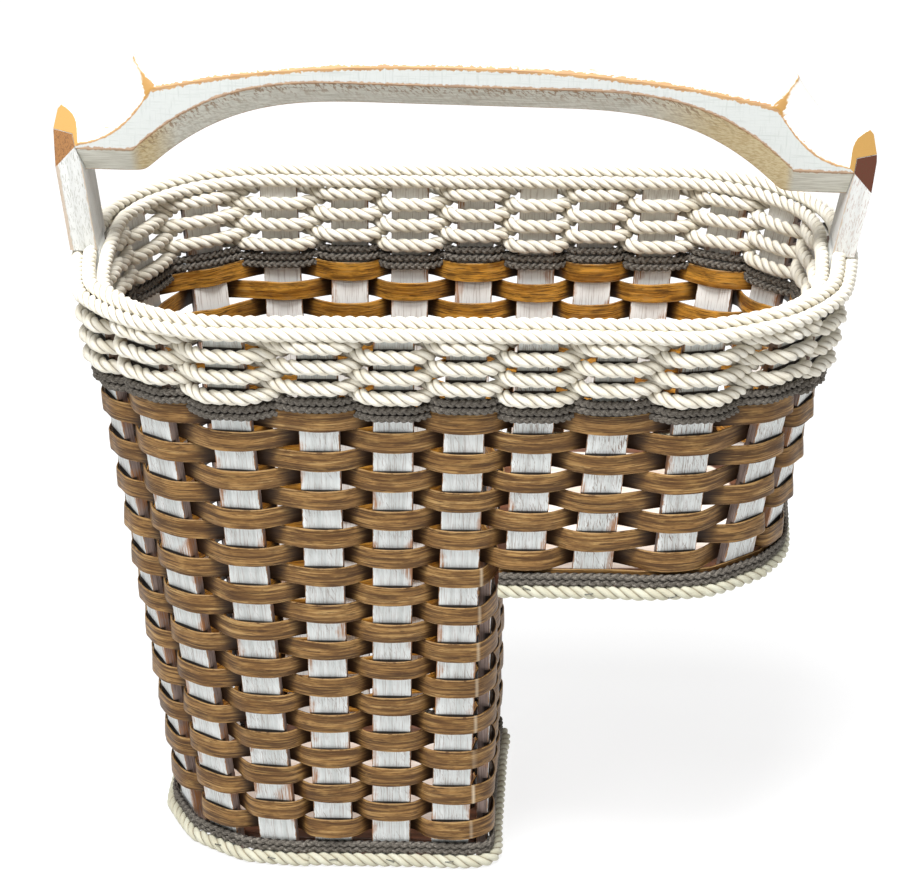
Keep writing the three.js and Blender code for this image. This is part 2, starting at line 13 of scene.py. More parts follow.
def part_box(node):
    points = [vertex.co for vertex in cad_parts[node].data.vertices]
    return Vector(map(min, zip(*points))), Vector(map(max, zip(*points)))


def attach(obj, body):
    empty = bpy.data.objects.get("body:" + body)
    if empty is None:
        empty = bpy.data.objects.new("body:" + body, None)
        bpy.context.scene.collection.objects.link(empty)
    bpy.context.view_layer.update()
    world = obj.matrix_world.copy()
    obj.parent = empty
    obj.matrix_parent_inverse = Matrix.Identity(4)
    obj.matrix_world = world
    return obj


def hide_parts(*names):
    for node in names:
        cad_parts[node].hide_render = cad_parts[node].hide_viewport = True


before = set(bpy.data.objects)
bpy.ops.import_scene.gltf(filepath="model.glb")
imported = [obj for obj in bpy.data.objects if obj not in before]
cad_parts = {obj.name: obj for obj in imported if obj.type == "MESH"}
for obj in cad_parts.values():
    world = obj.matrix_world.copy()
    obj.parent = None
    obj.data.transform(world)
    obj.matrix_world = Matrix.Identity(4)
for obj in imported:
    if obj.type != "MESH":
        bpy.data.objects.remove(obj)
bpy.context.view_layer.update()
scene = bpy.context.scene

# The photographer's camera stands in front of the basket, a little to its right, and looks down
# into it.
CAMERA_PLACE = Vector((0.0915, -1.9109, 1.0768))
CAMERA_LOOKS = Vector((-0.048, 0.9152, -0.4002)).normalized()
CAMERA_ROLL = -0.011

camera_data = bpy.data.cameras.new("camera")
camera_data.lens = 142.6
camera_data.sensor_width = 36
camera = bpy.data.objects.new("camera", camera_data)
scene.collection.objects.link(camera)
level = CAMERA_LOOKS.cross(Vector((0, 0, 1))).normalized()
upward = level.cross(CAMERA_LOOKS)
to_right = level * math.cos(CAMERA_ROLL) + upward * math.sin(CAMERA_ROLL)
to_top = upward * math.cos(CAMERA_ROLL) - level * math.sin(CAMERA_ROLL)
turned = Matrix((to_right, to_top, -CAMERA_LOOKS)).transposed()
camera.matrix_world = Matrix.Translation(CAMERA_PLACE) @ turned.to_4x4()
scene.camera = camera

# A white floor that glows a little, faint light from all round, and two soft lamps: one high above
# the basket, one in front of it and to its left.
floor_paint = bpy.data.materials.new("floor_paint")
floor_paint.use_nodes = True
floor_surface = floor_paint.node_tree.nodes["Principled BSDF"].inputs
floor_surface["Base Color"].default_value = (0.26, 0.262, 0.265, 1)
floor_surface["Emission Color"].default_value = (1, 1, 1, 1)
floor_surface["Emission Strength"].default_value = 0.82
floor_surface["Roughness"].default_value = 0.8
floor_surface["Specular IOR Level"].default_value = 0.1
floor_mesh = bpy.data.meshes.new("floor")
floor_mesh.from_pydata([(-14, -8, 0), (14, -8, 0), (14, 20, 0), (-14, 20, 0)], [], [(0, 1, 2, 3)])
floor_mesh.materials.append(floor_paint)
floor = bpy.data.objects.new("floor", floor_mesh)
scene.collection.objects.link(floor)

daylight = bpy.data.worlds.new("daylight")
daylight.use_nodes = True
daylight.node_tree.nodes["Background"].inputs["Color"].default_value = (1, 1, 1, 1)
daylight.node_tree.nodes["Background"].inputs["Strength"].default_value = 0.30
scene.world = daylight


def hang_lamp(name, place, aim, size, watts):
    lamp_data = bpy.data.lights.new(name, "AREA")
    lamp_data.shape = "SQUARE"
    lamp_data.size = size
    lamp_data.energy = watts
    lamp = bpy.data.objects.new(name, lamp_data)
    lamp.location = place
    lamp.rotation_euler = (Vector(aim) - Vector(place)).to_track_quat("-Z", "Y").to_euler()
    scene.collection.objects.link(lamp)


hang_lamp("lamp_above", (-0.15, -0.66, 2.4), (0, 0, 0.3), 1.1, 84)
hang_lamp("lamp_in_front", (-0.6, -1.4, 2.2), (0, 0, 0.25), 0.9, 26)
scene.view_settings.view_transform = "Standard"

# Two boards are the floors of the leg and of the shelf. Their edges, where the stakes are glued and
# pinned, are dark brown all round. Inside this border their tops are pale washed wood.
MM = 0.001


def feed(socket, value):
    """Gives a socket a number, a colour or another node's result."""
    if isinstance(value, bpy.types.NodeSocket):
        socket.id_data.links.new(value, socket)
    else:
        socket.default_value = (*value, 1) if isinstance(value, tuple) else value


def node(near, kind, inputs=(), **settings):
    """A node beside another one, with its settings and with what goes into it, by name or number."""
    made = near.id_data.nodes.new(kind)
    for key, value in settings.items():
        setattr(made, key, value)
    for key, value in dict(inputs).items():
        feed(made.inputs[key], value)
    return made


def new_finish(name, roughness, specular=0.5):
    """A material, its surface, and the place on the piece that its pattern reads."""
    material = bpy.data.materials.new(name)
    material.use_nodes = True
    surface = material.node_tree.nodes["Principled BSDF"].inputs
    surface["Roughness"].default_value = roughness
    surface["Specular IOR Level"].default_value = specular
    place = node(material.node_tree, "ShaderNodeAttribute", attribute_name="grain")
    return material, surface, place.outputs["Vector"]


def coat(surface, tone, relief, depth, strength=0.5):
    """Gives a surface its colour and its fine relief."""
    bump = node(tone, "ShaderNodeBump", {"Height": relief, "Distance": depth, "Strength": strength})
    feed(surface["Base Color"], tone)
    feed(surface["Normal"], bump.outputs["Normal"])


def worked_out(operation, *terms):
    near = next(term for term in terms if isinstance(term, bpy.types.NodeSocket))
    return node(near, "ShaderNodeMath", enumerate(terms), operation=operation).outputs[0]


def ramped(value, low, high, to_low=0.0, to_high=1.0):
    """A smooth step of a value between two limits."""
    inputs = {"Value": value, "From Min": low, "From Max": high, "To Min": to_low, "To Max": to_high}
    return node(value, "ShaderNodeMapRange", inputs, interpolation_type="SMOOTHSTEP").outputs["Result"]


def mixed(share, first, second):
    """A mix of two colours. Each is a colour or a node's result."""
    return node(share, "ShaderNodeMix", {0: share, 6: first, 7: second}, data_type="RGBA").outputs[2]


def marked(near, name):
    """The number that a piece is marked with."""
    return node(near, "ShaderNodeAttribute", attribute_name=name).outputs["Fac"]


def new_group(name, numbers, results):
    """A node group that reads a place and some numbers: its tree, its entry and its exit."""
    tree = bpy.data.node_groups.new(name, "ShaderNodeTree")
    tree.interface.new_socket("Place", in_out="INPUT", socket_type="NodeSocketVector")
    for number in numbers:
        tree.interface.new_socket(number, in_out="INPUT", socket_type="NodeSocketFloat")
    for result in results:
        tree.interface.new_socket(result, in_out="OUTPUT", socket_type="NodeSocketFloat")
    return tree, node(tree, "NodeGroupInput").outputs, node(tree, "NodeGroupOutput").inputs


def grouped(group, *inputs):
    """The results of a node group."""
    return tuple(node(inputs[0], "ShaderNodeGroup", enumerate(inputs), node_tree=group).outputs)


def make_lengthwise_grain():
    """Wood fibres that run along the piece: streaks are broad and soft, fibres thin and short."""
    numbers = ("Streaks per metre", "Fibres per metre", "Draw")
    tree, entry, leave = new_group("lengthwise_grain", numbers, ("Streaks", "Fibres"))
    for name, detail, rough in (("Streaks", 4.0, 0.55), ("Fibres", 3.0, 0.65)):
        across = entry[name + " per metre"]
        along = worked_out("DIVIDE", across, entry["Draw"])
        stretch = node(tree, "ShaderNodeCombineXYZ", {0: along, 1: across, 2: across}).outputs[0]
        scaled = node(tree, "ShaderNodeVectorMath", {0: entry["Place"], 1: stretch}, operation="MULTIPLY")
        pattern = {"Vector": scaled.outputs[0], "Scale": 1.0, "Detail": detail, "Roughness": rough}
        made = node(tree, "ShaderNodeTexNoise", {**pattern, "Distortion": 0.25})
        feed(leave[name], made.outputs["Fac"])
    return tree


lengthwise_grain = make_lengthwise_grain()


def add_grain(place, streaks, fibres, draw):
    return grouped(lengthwise_grain, place, streaks, fibres, draw)


def make_board_stain():
    material, surface, place = new_finish("board_stain", 0.5)
    streaks, fibres = add_grain(place, 160, 900, 14)
    edge = mixed(ramped(streaks, 0.35, 0.68), (0.06, 0.022, 0.010), (0.17, 0.065, 0.032))
    edge = mixed(ramped(fibres, 0.58, 0.75), edge, (0.035, 0.014, 0.007))
    washed = mixed(ramped(streaks, 0.3, 0.7), (0.74, 0.60, 0.50), (0.88, 0.81, 0.75))
    washed = mixed(ramped(fibres, 0.58, 0.75, 0, 0.5), washed, (0.60, 0.42, 0.32))
    coat(surface, mixed(marked(place, "top"), edge, washed), fibres, 0.2 * MM)
    return material


def closed_mesh(name, points, faces):
    """A mesh whose faces all look outwards."""
    mesh = bpy.data.meshes.new(name)
    mesh.from_pydata([tuple(p) for p in points], [], faces)
    turner = bmesh.new()
    turner.from_mesh(mesh)
    bmesh.ops.recalc_face_normals(turner, faces=turner.faces)
    turner.to_mesh(mesh)
    turner.free()
    return mesh


def basket_piece(name, points, faces, material, grain, nodes, weighted=True, sharp=None):
    """A mesh piece of the basket, with the place of each point in its own material."""
    mesh = closed_mesh(name, points, faces)
    attribute = mesh.attributes.new("grain", "FLOAT_VECTOR", "POINT")
    attribute.data.foreach_set("vector", np.asarray(grain, dtype=np.float32).ravel())
    mesh.materials.append(material)
    mesh.shade_smooth()
    if sharp:
        mesh.set_sharp_from_angle(angle=math.radians(sharp))
    piece = bpy.data.objects.new(name, mesh)
    scene.collection.objects.link(piece)
    if weighted:
        even = piece.modifiers.new("even_faces", "WEIGHTED_NORMAL")
        even.keep_sharp = bool(sharp)
    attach(piece, "root")
    if nodes:
        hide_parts(*nodes)
    return piece


def mark(piece, name, values, domain="POINT"):
    """A number for each point or face of a piece, or one for all, which its material reads."""
    attribute = piece.data.attributes.new(name, "FLOAT", domain)
    values = np.broadcast_to(np.ravel(values), len(attribute.data))
    attribute.data.foreach_set("value", values.astype(np.float32))


def skin(sections, closed):
    """Points and faces through an array of like sections, joined end to end or capped."""
    stations, count = sections.shape[:2]
    faces = []
    for i in range(stations if closed else stations - 1):
        here, there = i * count, (i + 1) % stations * count
        for k in range(count):
            m = (k + 1) % count
            faces.append((here + k, there + k, there + m, here + m))
    if not closed:
        faces.append(tuple(range(count)))
        faces.append(tuple(range((stations - 1) * count, stations * count)))
    return sections.reshape(-1, 3), faces


def unit(vectors):
    return vectors / np.linalg.norm(vectors, axis=1)[:, None]


def board_outline(low, high, corner_left, corner_right):
    """The rounded outline of a board in its box."""
    outline = []
    right, left = high.x - corner_right, low.x + corner_left
    for cx, cy, radius, start in (
        (right, low.y + corner_right, corner_right, -90),
        (right, high.y - corner_right, corner_right, 0),
        (left, high.y - corner_left, corner_left, 90),
        (left, low.y + corner_left, corner_left, 180),
    ):
        for step in range(13):
            angle = math.radians(start + 90 * step / 12)
            outline.append((cx + radius * math.cos(angle), cy + radius * math.sin(angle)))
    return np.array(outline)


board_stain = make_board_stain()
for name, corner_left, corner_right in (("board_lower", 67.5, 6), ("board_upper", 6, 62.2)):
    low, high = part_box(name)
    outline = board_outline(low, high, corner_left * MM, corner_right * MM)
    away = unit(outline - outline.mean(axis=0))
    # From below: the height of each ring, and how far in from the edge it lies, in millimetres.
    bottom, top, ease = low.z, high.z, 0.8
    rings = [(bottom, ease), (bottom + ease * MM, 0), (top - ease * MM, 0), (top, ease)]
    rings += [(top, 16.5), (top, 18)]
    sections = [
        np.column_stack([outline - away * inset * MM, np.full(len(outline), height)])
        for height, inset in rings
    ]
    points, faces = skin(np.array(sections), False)
    # The dark border ends between the last two rings.
    board = basket_piece(name, points, faces, board_stain, points, [name])
    mark(board, "top", np.repeat([0, 0, 0, 0, 0, 1], len(outline)))

# Stakes are flat slats of pale wood, brushed with white paint that has worn thin along the grain.
# Their sawn edges were left with hardly any paint. Rows of strip and, higher up, of rope pass over
# every second stake, and its face behind them is painted dark as shade.
STAKE_WIDTH = 22.4 * MM
STAKE_THICK = 6.5 * MM
WEAVER_FIRST = 25.6 * MM
WEAVER_SPACING = 12.56 * MM
ROPE_HIGHEST = 350 * MM
ROPE_SPACING = 6.3 * MM


def times(first, second):
    return worked_out("MULTIPLY", first, second)


def layered(tone, *layers):
    """Colours laid over each other, each with its share."""
    for share, colour in layers:
        tone = mixed(share, tone, colour)
    return tone


def part_of(place, axis):
    return node(place, "ShaderNodeSeparateXYZ", {0: place}).outputs[axis]


def noise(place, scale, detail=2.0):
    made = node(place, "ShaderNodeTexNoise", {"Vector": place, "Scale": scale, "Detail": detail})
    return made.outputs["Fac"]


def add_dashes(place, turn, per_metre, draw, low, high):
    """Short thin strokes along a direction, some degrees off the length of the piece."""
    inputs = {"Vector": place, "Angle": math.radians(turn)}
    turned = node(place, "ShaderNodeVectorRotate", inputs, rotation_type="Z_AXIS").outputs["Vector"]
    _, strokes = add_grain(turned, 200, per_metre, draw)
    return ramped(strokes, low, high)


def make_edge_wear():
    """Masks for a slat: edges where paint rubs off its corners, sides for its two narrow faces."""
    numbers = ("Half width", "Half thickness", "Reach")
    tree, entry, leave = new_group("edge_wear", numbers, ("Edges", "Sides"))
    ragged = worked_out("MULTIPLY_ADD", noise(entry["Place"], 260.0, 3.0), 2.4, -0.5)
    reach = times(entry["Reach"], ragged)
    gaps = []
    for axis, half in ((1, "Half width"), (2, "Half thickness")):
        from_middle = worked_out("ABSOLUTE", part_of(entry["Place"], axis))
        gaps.append(worked_out("SUBTRACT", entry[half], from_middle))
    near = [worked_out("LESS_THAN", gap, reach) for gap in gaps]
    feed(leave["Edges"], times(*near))
    feed(leave["Sides"], worked_out("LESS_THAN", gaps[0], 0.25 * MM))
    return tree


edge_wear = make_edge_wear()


def add_wear(place, half_width, half_thick, reach):
    return grouped(edge_wear, place, half_width, half_thick, reach)


def shaded_behind_rows(place, first, spacing, half):
    """Where rows pass over a stake, for painted shade in the crevice behind them: every second row,
    counted from the first, up to half a row away.
    """
    turns = worked_out("MULTIPLY_ADD", marked(place, "height"), 0.5 / spacing, -0.5 * first / spacing)
    away = worked_out("PINGPONG", worked_out("ADD", turns, marked(place, "missed")), 0.5)
    limit = 0.5 * half / spacing
    return ramped(away, limit - 0.02, limit + 0.012, 1, 0)


def make_stake_whitewash():
    material, surface, place = new_finish("stake_whitewash", 0.62, 0.25)
    streaks, fibres = add_grain(place, 300, 1500, 30)
    edges, sides = add_wear(place, STAKE_WIDTH / 2, STAKE_THICK / 2, 0.6 * MM)
    outside = ramped(part_of(place, 2), -1 * MM, 1 * MM)
    paint = mixed(ramped(streaks, 0.3, 0.7), (0.68, 0.71, 0.69), (0.88, 0.905, 0.89))
    # Painted light: the inner face is a plain pale paint, brighter than the outer face, for the light
    # that falls inside the basket.
    paint = mixed(outside, (0.90, 0.89, 0.86), paint)

    # Scratches show where the paint is worn, on the outside.
    worn = times(ramped(noise(place, 45.0), 0.42, 0.62), 0.5)
    worn = worked_out("MULTIPLY_ADD", marked(place, "worn"), 0.6, worn)
    slanting = add_dashes(place, 24, 900, 9, 0.60, 0.66)
    upright = add_dashes(place, 3, 1500, 14, 0.55, 0.64)
    scratches = worked_out("MAXIMUM", slanting, upright)
    scratches = times(times(scratches, worn), outside)
    bare = mixed(ramped(fibres, 0.4, 0.62), (0.30, 0.185, 0.145), (0.13, 0.068, 0.048))

    # Brown patches lie near the narrow sides.
    near_side = worked_out("ABSOLUTE", part_of(place, 1))
    near_side = ramped(near_side, 3 * MM, 11 * MM, 0, 0.16)
    patch = worked_out("ADD", noise(place, 38.0, 5.0), near_side)
    patch = times(ramped(patch, 0.66, 0.76), ramped(fibres, 0.38, 0.58, 0.1, 0.9))

    # Painted shade in the crevice behind the rows that pass over the stake: strips below 303 mm, ropes
    # and cords above.
    strips = shaded_behind_rows(place, WEAVER_FIRST, WEAVER_SPACING, 6.3 * MM)
    ropes = shaded_behind_rows(place, ROPE_HIGHEST, ROPE_SPACING, 3.9 * MM)
    height = marked(place, "height")
    crevice_shade = mixed(ramped(height, 303 * MM, 304 * MM), strips, ropes)
    above_foot = ramped(height, 19.3 * MM, 19.6 * MM, 0, 0.94)
    tone = layered(
        paint,
        (ramped(fibres, 0.52, 0.66, 0, 0.6), (0.42, 0.34, 0.30)),
        (times(scratches, 0.85), (0.22, 0.13, 0.085)),
        (times(sides, 0.85), bare),
        (edges, (0.34, 0.18, 0.085)),
        (patch, (0.40, 0.17, 0.060)),
        (times(times(crevice_shade, outside), above_foot), (0.030, 0.020, 0.016)),
    )
    coat(surface, tone, fibres, 0.2 * MM)
    return material


def stake_end(points):
    """Middle, outward direction, width and thickness of one end of a stake, from its corners."""
    middle = points.mean(axis=0)
    spread = (points - middle)[:, :2]
    _, _, axes = np.linalg.svd(spread)
    inner_point = np.array([-0.06, 0])
    normal = axes[1] if axes[1] @ (middle[:2] - inner_point) > 0 else -axes[1]
    width, thick = (2 * np.abs(spread @ axis).max() for axis in axes)
    return Vector(middle), Vector((*normal, 0)), width, thick


def read_stake(name, over):
    """A stake from the corner points of its solid, and whether the first row passes over it."""
    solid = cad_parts[name]
    points = np.array([solid.matrix_world @ v.co for v in solid.data.vertices])
    points = np.unique(np.round(points, 6), axis=0)
    foot, foot_out, width, thick = stake_end(points[points[:, 2] < points[:, 2].min() + 0.1 * MM])
    if name.startswith("handle"):
        # An upright thickens above the rim, so its lean is read from its inner face.
        below_rim, in_blade = 0.355, 0.415
        high = points[points[:, 2] > in_blade]
        highest = high[np.argmin(high[:, 0] * foot_out.x)]
        inner = foot - foot_out * thick / 2
        lean = (highest[0] - inner.x) / (highest[2] - foot.z)
        top, top_out = Vector((foot.x + lean * (below_rim - foot.z), 0, below_rim)), foot_out
    else:
        top, top_out = stake_end(points[points[:, 2] > points[:, 2].max() - 0.1 * MM])[:2]
    sizes = dict(foot_out=foot_out, top_out=top_out, width=width, thick=thick)
    return dict(name=name, foot=foot, top=top, over=over, **sizes)


def spot(stake, height, across=0.0, out=0.0):
    """The point of a stake at a height, some way across its face and out from its middle."""
    share = (height - stake["foot"].z) / (stake["top"].z - stake["foot"].z)
    middle = stake["foot"].lerp(stake["top"], share)
    normal = stake["foot_out"].lerp(stake["top_out"], share).normalized()
    return middle + normal * out + Vector((-normal.y, normal.x, 0)) * across


def slat_section(half_width, half_thick):
    """Places across and out, round a slat with eased corners."""
    rounding = 0.6 * MM
    places = []
    for side_across, side_out, start in ((1, 1, 0), (-1, 1, 90), (-1, -1, 180), (1, -1, 270)):
        for step in range(3):
            angle = math.radians(start + 45 * step)
            across = side_across * (half_width - rounding) + rounding * math.cos(angle)
            places.append((across, side_out * (half_thick - rounding) + rounding * math.sin(angle)))
    return places


def slat_shape(stake, levels, offset=0.0):
    """Points, faces and grain of a slat, from its heights and how much it is eased at each."""
    sections, grain = [], []
    for height, ease in levels:
        for across, out in slat_section(stake["width"] / 2 - ease, stake["thick"] / 2 - ease):
            sections.append(spot(stake, height, across, out))
            grain.append(Vector((height, across, out)) + Vector((offset, 0, 0)))
    return *skin(np.array(sections).reshape(len(levels), -1, 3), False), grain


front_stakes = [read_stake(f"stake_front_{i:02d}", i % 2 == 0) for i in range(1, 12)]
back_stakes = [read_stake(f"stake_back_{i:02d}", i % 2 == 0) for i in range(1, 14)]
riser_stakes = [read_stake(f"stake_riser_{i}", i % 2 == 1) for i in range(1, 5)]
stake_whitewash = make_stake_whitewash()
chance = random.Random(5)
for stake in front_stakes + back_stakes + riser_stakes:
    low, high, name = stake["foot"].z, stake["top"].z, stake["name"]
    steps = max(2, round((high - low) / (14 * MM)))
    levels = [(low + (high - low) * i / steps, 0) for i in range(1, steps)]
    levels = [(low, 0.8 * MM), (low + 0.5 * MM, 0), *levels, (high - 0.5 * MM, 0), (high, 0.8 * MM)]
    points, faces, grain = slat_shape(stake, levels, chance.uniform(0, 3))
    slat = basket_piece(name, points, faces, stake_whitewash, grain, [name])
    mark(slat, "height", np.repeat([height for height, _ in levels], len(points) // len(levels)))
    mark(slat, "missed", 0.0 if stake["over"] else 0.5)
    mark(slat, "worn", 1.0 if stake["foot"].x > 30 * MM else 0.2)

# The handle's two uprights are blades of thicker wood. Each runs down inside its end wall as one
# more stake, cut narrower and thinner there, and is woven in.
upright_left = read_stake("handle_upright_left", True)
upright_right = read_stake("handle_upright_right", True)

# Four stakes stand at the corners where the leg's walls meet the riser. A strip that passes inside
# such a stake leaves it early and cuts the corner.
leg_ring = [
    upright_left,
    *front_stakes[:5],
    dict(front_stakes[5], turn=1),
    dict(riser_stakes[0], turn=-1),
    *riser_stakes[1:3],
    dict(riser_stakes[3], turn=1),
    dict(back_stakes[6], turn=-1),
    *reversed(back_stakes[:6]),
]
body_ring = [upright_left, *front_stakes, upright_right, *reversed(back_stakes)]
shelf_ring = [*front_stakes[6:], upright_right, *reversed(back_stakes[7:])]

# Strips of split wood, stained golden brown, are woven in and out round the stakes: fifteen rows
# round the leg, then eight round the whole body. A strip bows out where it passes over a stake.
WEAVER_WIDTH = 12.26 * MM
WEAVER_THICK = 1.3 * MM
LEG_ROWS = 15
BODY_ROWS = 8
CORNER_REACH = 5 * MM


def make_weaver_stain():
    material, surface, place = new_finish("weaver_stain", 0.45, 0.22)
    streaks, fibres = add_grain(place, 480, 1350, 22)
    clouds, _ = add_grain(place, 150, 900, 2.2)
    flecks = add_dashes(place, 0, 700, 7, 0.54, 0.64)
    edges, _ = add_wear(place, WEAVER_WIDTH / 2, WEAVER_THICK / 2, 0.7 * MM)
    inside = ramped(part_of(place, 2), -0.2 * MM, 0.2 * MM, 1, 0)
    outer = mixed(ramped(streaks, 0.36, 0.60), (0.085, 0.040, 0.011), (0.285, 0.148, 0.045))
    outer = mixed(ramped(streaks, 0.56, 0.70), outer, (0.45, 0.285, 0.11))
    # Its inner face has a more orange tone of its own, and is also painted brighter as light falling
    # inside the basket.
    inner = mixed(ramped(streaks, 0.36, 0.62), (0.33, 0.13, 0.012), (0.72, 0.35, 0.05))
    # Painted shade: the face that a strip turns to a stake is dark on both sides of the crossing.
    shade_toward_stake = times(marked(place, "side"), worked_out("MULTIPLY_ADD", inside, -2.0, 1.0))
    tone = layered(
        mixed(inside, outer, inner),
        (ramped(fibres, 0.36, 0.46, 0.4, 0), (0.50, 0.31, 0.11)),
        (ramped(fibres, 0.53, 0.61, 0, 0.85), (0.06, 0.026, 0.009)),
        (ramped(clouds, 0.46, 0.66, 0, 0.55), (0.11, 0.050, 0.014)),
        (ramped(clouds, 0.26, 0.44, 0.4, 0), (0.46, 0.27, 0.09)),
        (times(flecks, 0.5), (0.075, 0.032, 0.010)),
        (times(edges, 0.55), (0.50, 0.31, 0.13)),
        (ramped(shade_toward_stake, -0.9, 0.35, 0.95, 0), (0.024, 0.010, 0.004)),
        # A pale line along the fold: cracked stain, and partly a painted highlight.
        (times(marked(place, "fold"), 0.75), (0.74, 0.62, 0.45)),
    )
    coat(surface, tone, fibres, 0.15 * MM)
    return material


def smooth_run(controls, closed, step):
    """A smooth curve through control points, as places a step apart. Extra columns go along."""
    controls = np.asarray(controls, dtype=float)
    count = len(controls)
    t = (np.arange(14) / 14)[:, None]
    pieces = []
    for i in range(count if closed else count - 1):
        p0, p1, p2, p3 = controls.take(range(i - 1, i + 3), axis=0, mode="wrap" if closed else "clip")
        bent = 2 * p1 + (p2 - p0) * t + (2 * p0 - 5 * p1 + 4 * p2 - p3) * t**2
        pieces.append(0.5 * (bent + (3 * p1 - 3 * p2 + p3 - p0) * t**3))
    dense = np.vstack([*pieces, controls[:1] if closed else controls[-1:]])
    gaps = np.linalg.norm(np.diff(dense[:, :3], axis=0), axis=1)
    distance = np.concatenate([[0], np.cumsum(gaps)])
    total = distance[-1]
    wanted = np.linspace(0, total, max(8, round(total / step)) + 1)
    if closed:
        wanted = wanted[:-1]
    return np.column_stack([np.interp(wanted, distance, column) for column in dense.T]), wanted, total


def frames_along(path, closed):
    """Outward and upward directions along a level run."""
    if closed:
        tangent = unit(np.roll(path[:, :3], -1, axis=0) - np.roll(path[:, :3], 1, axis=0))
    else:
        tangent = unit(np.gradient(path[:, :3], axis=0))
    up = unit(np.array([0, 0, 1.0]) - tangent * tangent[:, 2:3])
    return np.cross(tangent, up), up


def swept(path, out, up, away, rise):
    """Sections along a run, from the distances of their points out from it and above it."""
    return path[:, None, :3] + out[:, None, :] * away[..., None] + up[:, None, :] * rise[..., None]


def places_in(*parts):
    """Where each point of a run lies in its material: along, across and deep."""
    return np.stack(np.broadcast_arrays(*parts), axis=-1)


def woven_controls(ring, height, even, hold, bow, overhang, wander):
    """Three points for each stake that a row passes, and 1 or -1 for the side it passes on."""
    controls = []
    for stake in ring:
        side = 1 if stake["over"] == even else -1
        lift = chance.gauss(0, wander)
        turn = stake.get("turn", 0)
        for end, out in ((-1, hold), (0, hold + bow), (1, hold)):
            across = end * (stake["width"] / 2 + overhang)
            if side < 0 and turn and turn == end:
                across = end * CORNER_REACH
                out = hold + bow / 2
            place = spot(stake, height + lift, across, side * (stake["thick"] / 2 + out))
            controls.append((*place, side))
    return controls


def wind_strip(name, shared, ring, row):
    """One row of strip, with its face eased at the edges and a slight turn of its own."""
    height = WEAVER_FIRST + WEAVER_SPACING * row
    half, thick = WEAVER_WIDTH / 2, WEAVER_THICK / 2
    controls = woven_controls(ring, height, row % 2 == 0, 0.95 * MM, 2.3 * MM, 1.2 * MM, 0.16 * MM)
    path, distance, total = smooth_run(controls, True, 1.5 * MM)
    phases = [chance.uniform(0, 6.28) for _ in range(4)]
    offset = chance.uniform(0, 9)
    turn = 2 * math.pi * distance / total
    tilt = 0.035 * np.sin(9 * turn + phases[0]) + 0.03 * np.sin(17 * turn + phases[1])
    width = 1 - 0.02 * (1 + np.sin(7 * turn + phases[2])) - 0.01 * (1 + np.sin(13 * turn + phases[3]))
    eased, inner, inner_eased = thick - 0.4 * MM, -thick, -thick + 0.4 * MM
    away = np.array([thick, thick + 0.12 * MM, thick, eased, inner_eased, inner, inner, inner_eased])
    edge = half - 0.5 * MM
    rise = np.array([-edge, 0, edge, half, half, edge, -edge, -half])
    rise_here = rise * width[:, None]
    sections = swept(path, *frames_along(path, True), away + tilt[:, None] * rise_here, rise_here)
    grain = places_in((distance + offset)[:, None], rise, away)

    # At the leg's front corner the strip is folded, and its stain has cracked along the fold. The pale
    # line there is partly a painted highlight.
    fold = 0 * distance
    if ring is leg_ring:
        stake = front_stakes[5]
        corner = spot(stake, height, stake["width"] / 2 + 1.5 * MM, STAKE_THICK / 2 + 1 * MM)
        apart = np.linalg.norm(path[:, :3] - np.array(corner), axis=1)
        fold = np.clip(1.15 - apart / (0.8 * MM), 0, 1) * (path[:, 3] > 0.6)
    points, faces = skin(sections, True)
    strip = basket_piece(name, points, faces, weaver_stain, grain, [shared])
    mark(strip, "side", np.repeat(path[:, 3], len(rise)))
    mark(strip, "fold", np.repeat(fold, len(rise)))


weaver_stain = make_weaver_stain()
for row in range(LEG_ROWS):
    wind_strip(f"weaver_row_{row + 1:02d}", f"weavers_leg_{row // 3 + 1}", leg_ring, row)
for row in range(LEG_ROWS, LEG_ROWS + BODY_ROWS):
    shared = f"weavers_body_{(row - LEG_ROWS) // 2 + 1}"
    wind_strip(f"weaver_row_{row + 1:02d}", shared, body_ring, row)

# Two rows of thin charcoal cord come next, each a pair of plaited cotton cords woven side by side,
# and six rows of three-strand cotton rope above them.
ROPE_STRAND = 2.3 * MM
ROPE_CORE = 1.85 * MM
ROPE_LAY = 20.6 * MM
STRAND_PLACES = (-60, -50, -35, -18, 0, 18, 35, 50)


def make_cotton(name, deep, pale):
    material, surface, place = new_finish(name, 0.9, 0.2)
    _, fibres = add_grain(place, 300, 1000, 7)
    # Painted shade: the rope is darkened in the grooves between its strands.
    depth = ramped(marked(place, "groove"), 0.30, 0.95)
    tone = layered(
        mixed(ramped(noise(place, 70.0), 0.35, 0.65), deep, pale),
        (ramped(fibres, 0.48, 0.68, 0, 0.5), (0.58, 0.51, 0.38)),
        (times(depth, 0.75), (0.22, 0.165, 0.095)),
    )
    surface["Sheen Weight"].default_value = 0.15
    coat(surface, tone, fibres, 0.3 * MM, 0.7)
    return material


def make_charcoal():
    material, surface, place = new_finish("charcoal", 0.9, 0.2)
    _, fibres = add_grain(place, 300, 2200, 5)
    fleck = noise(place, 620.0, 3.0)
    # Painted shade: the plaits are darkened where a strand runs under another.
    depth = ramped(marked(place, "groove"), 0.35, 0.95)
    tone = layered(
        mixed(ramped(fibres, 0.42, 0.62), (0.085, 0.075, 0.062), (0.24, 0.215, 0.185)),
        (ramped(fleck, 0.60, 0.74), (0.36, 0.335, 0.29)),
        (times(depth, 0.9), (0.014, 0.010, 0.010)),
    )
    coat(surface, tone, fleck, 0.3 * MM, 0.8)
    return material


cotton = make_cotton("cotton", (0.76, 0.715, 0.60), (0.84, 0.81, 0.72))
charcoal = make_charcoal()


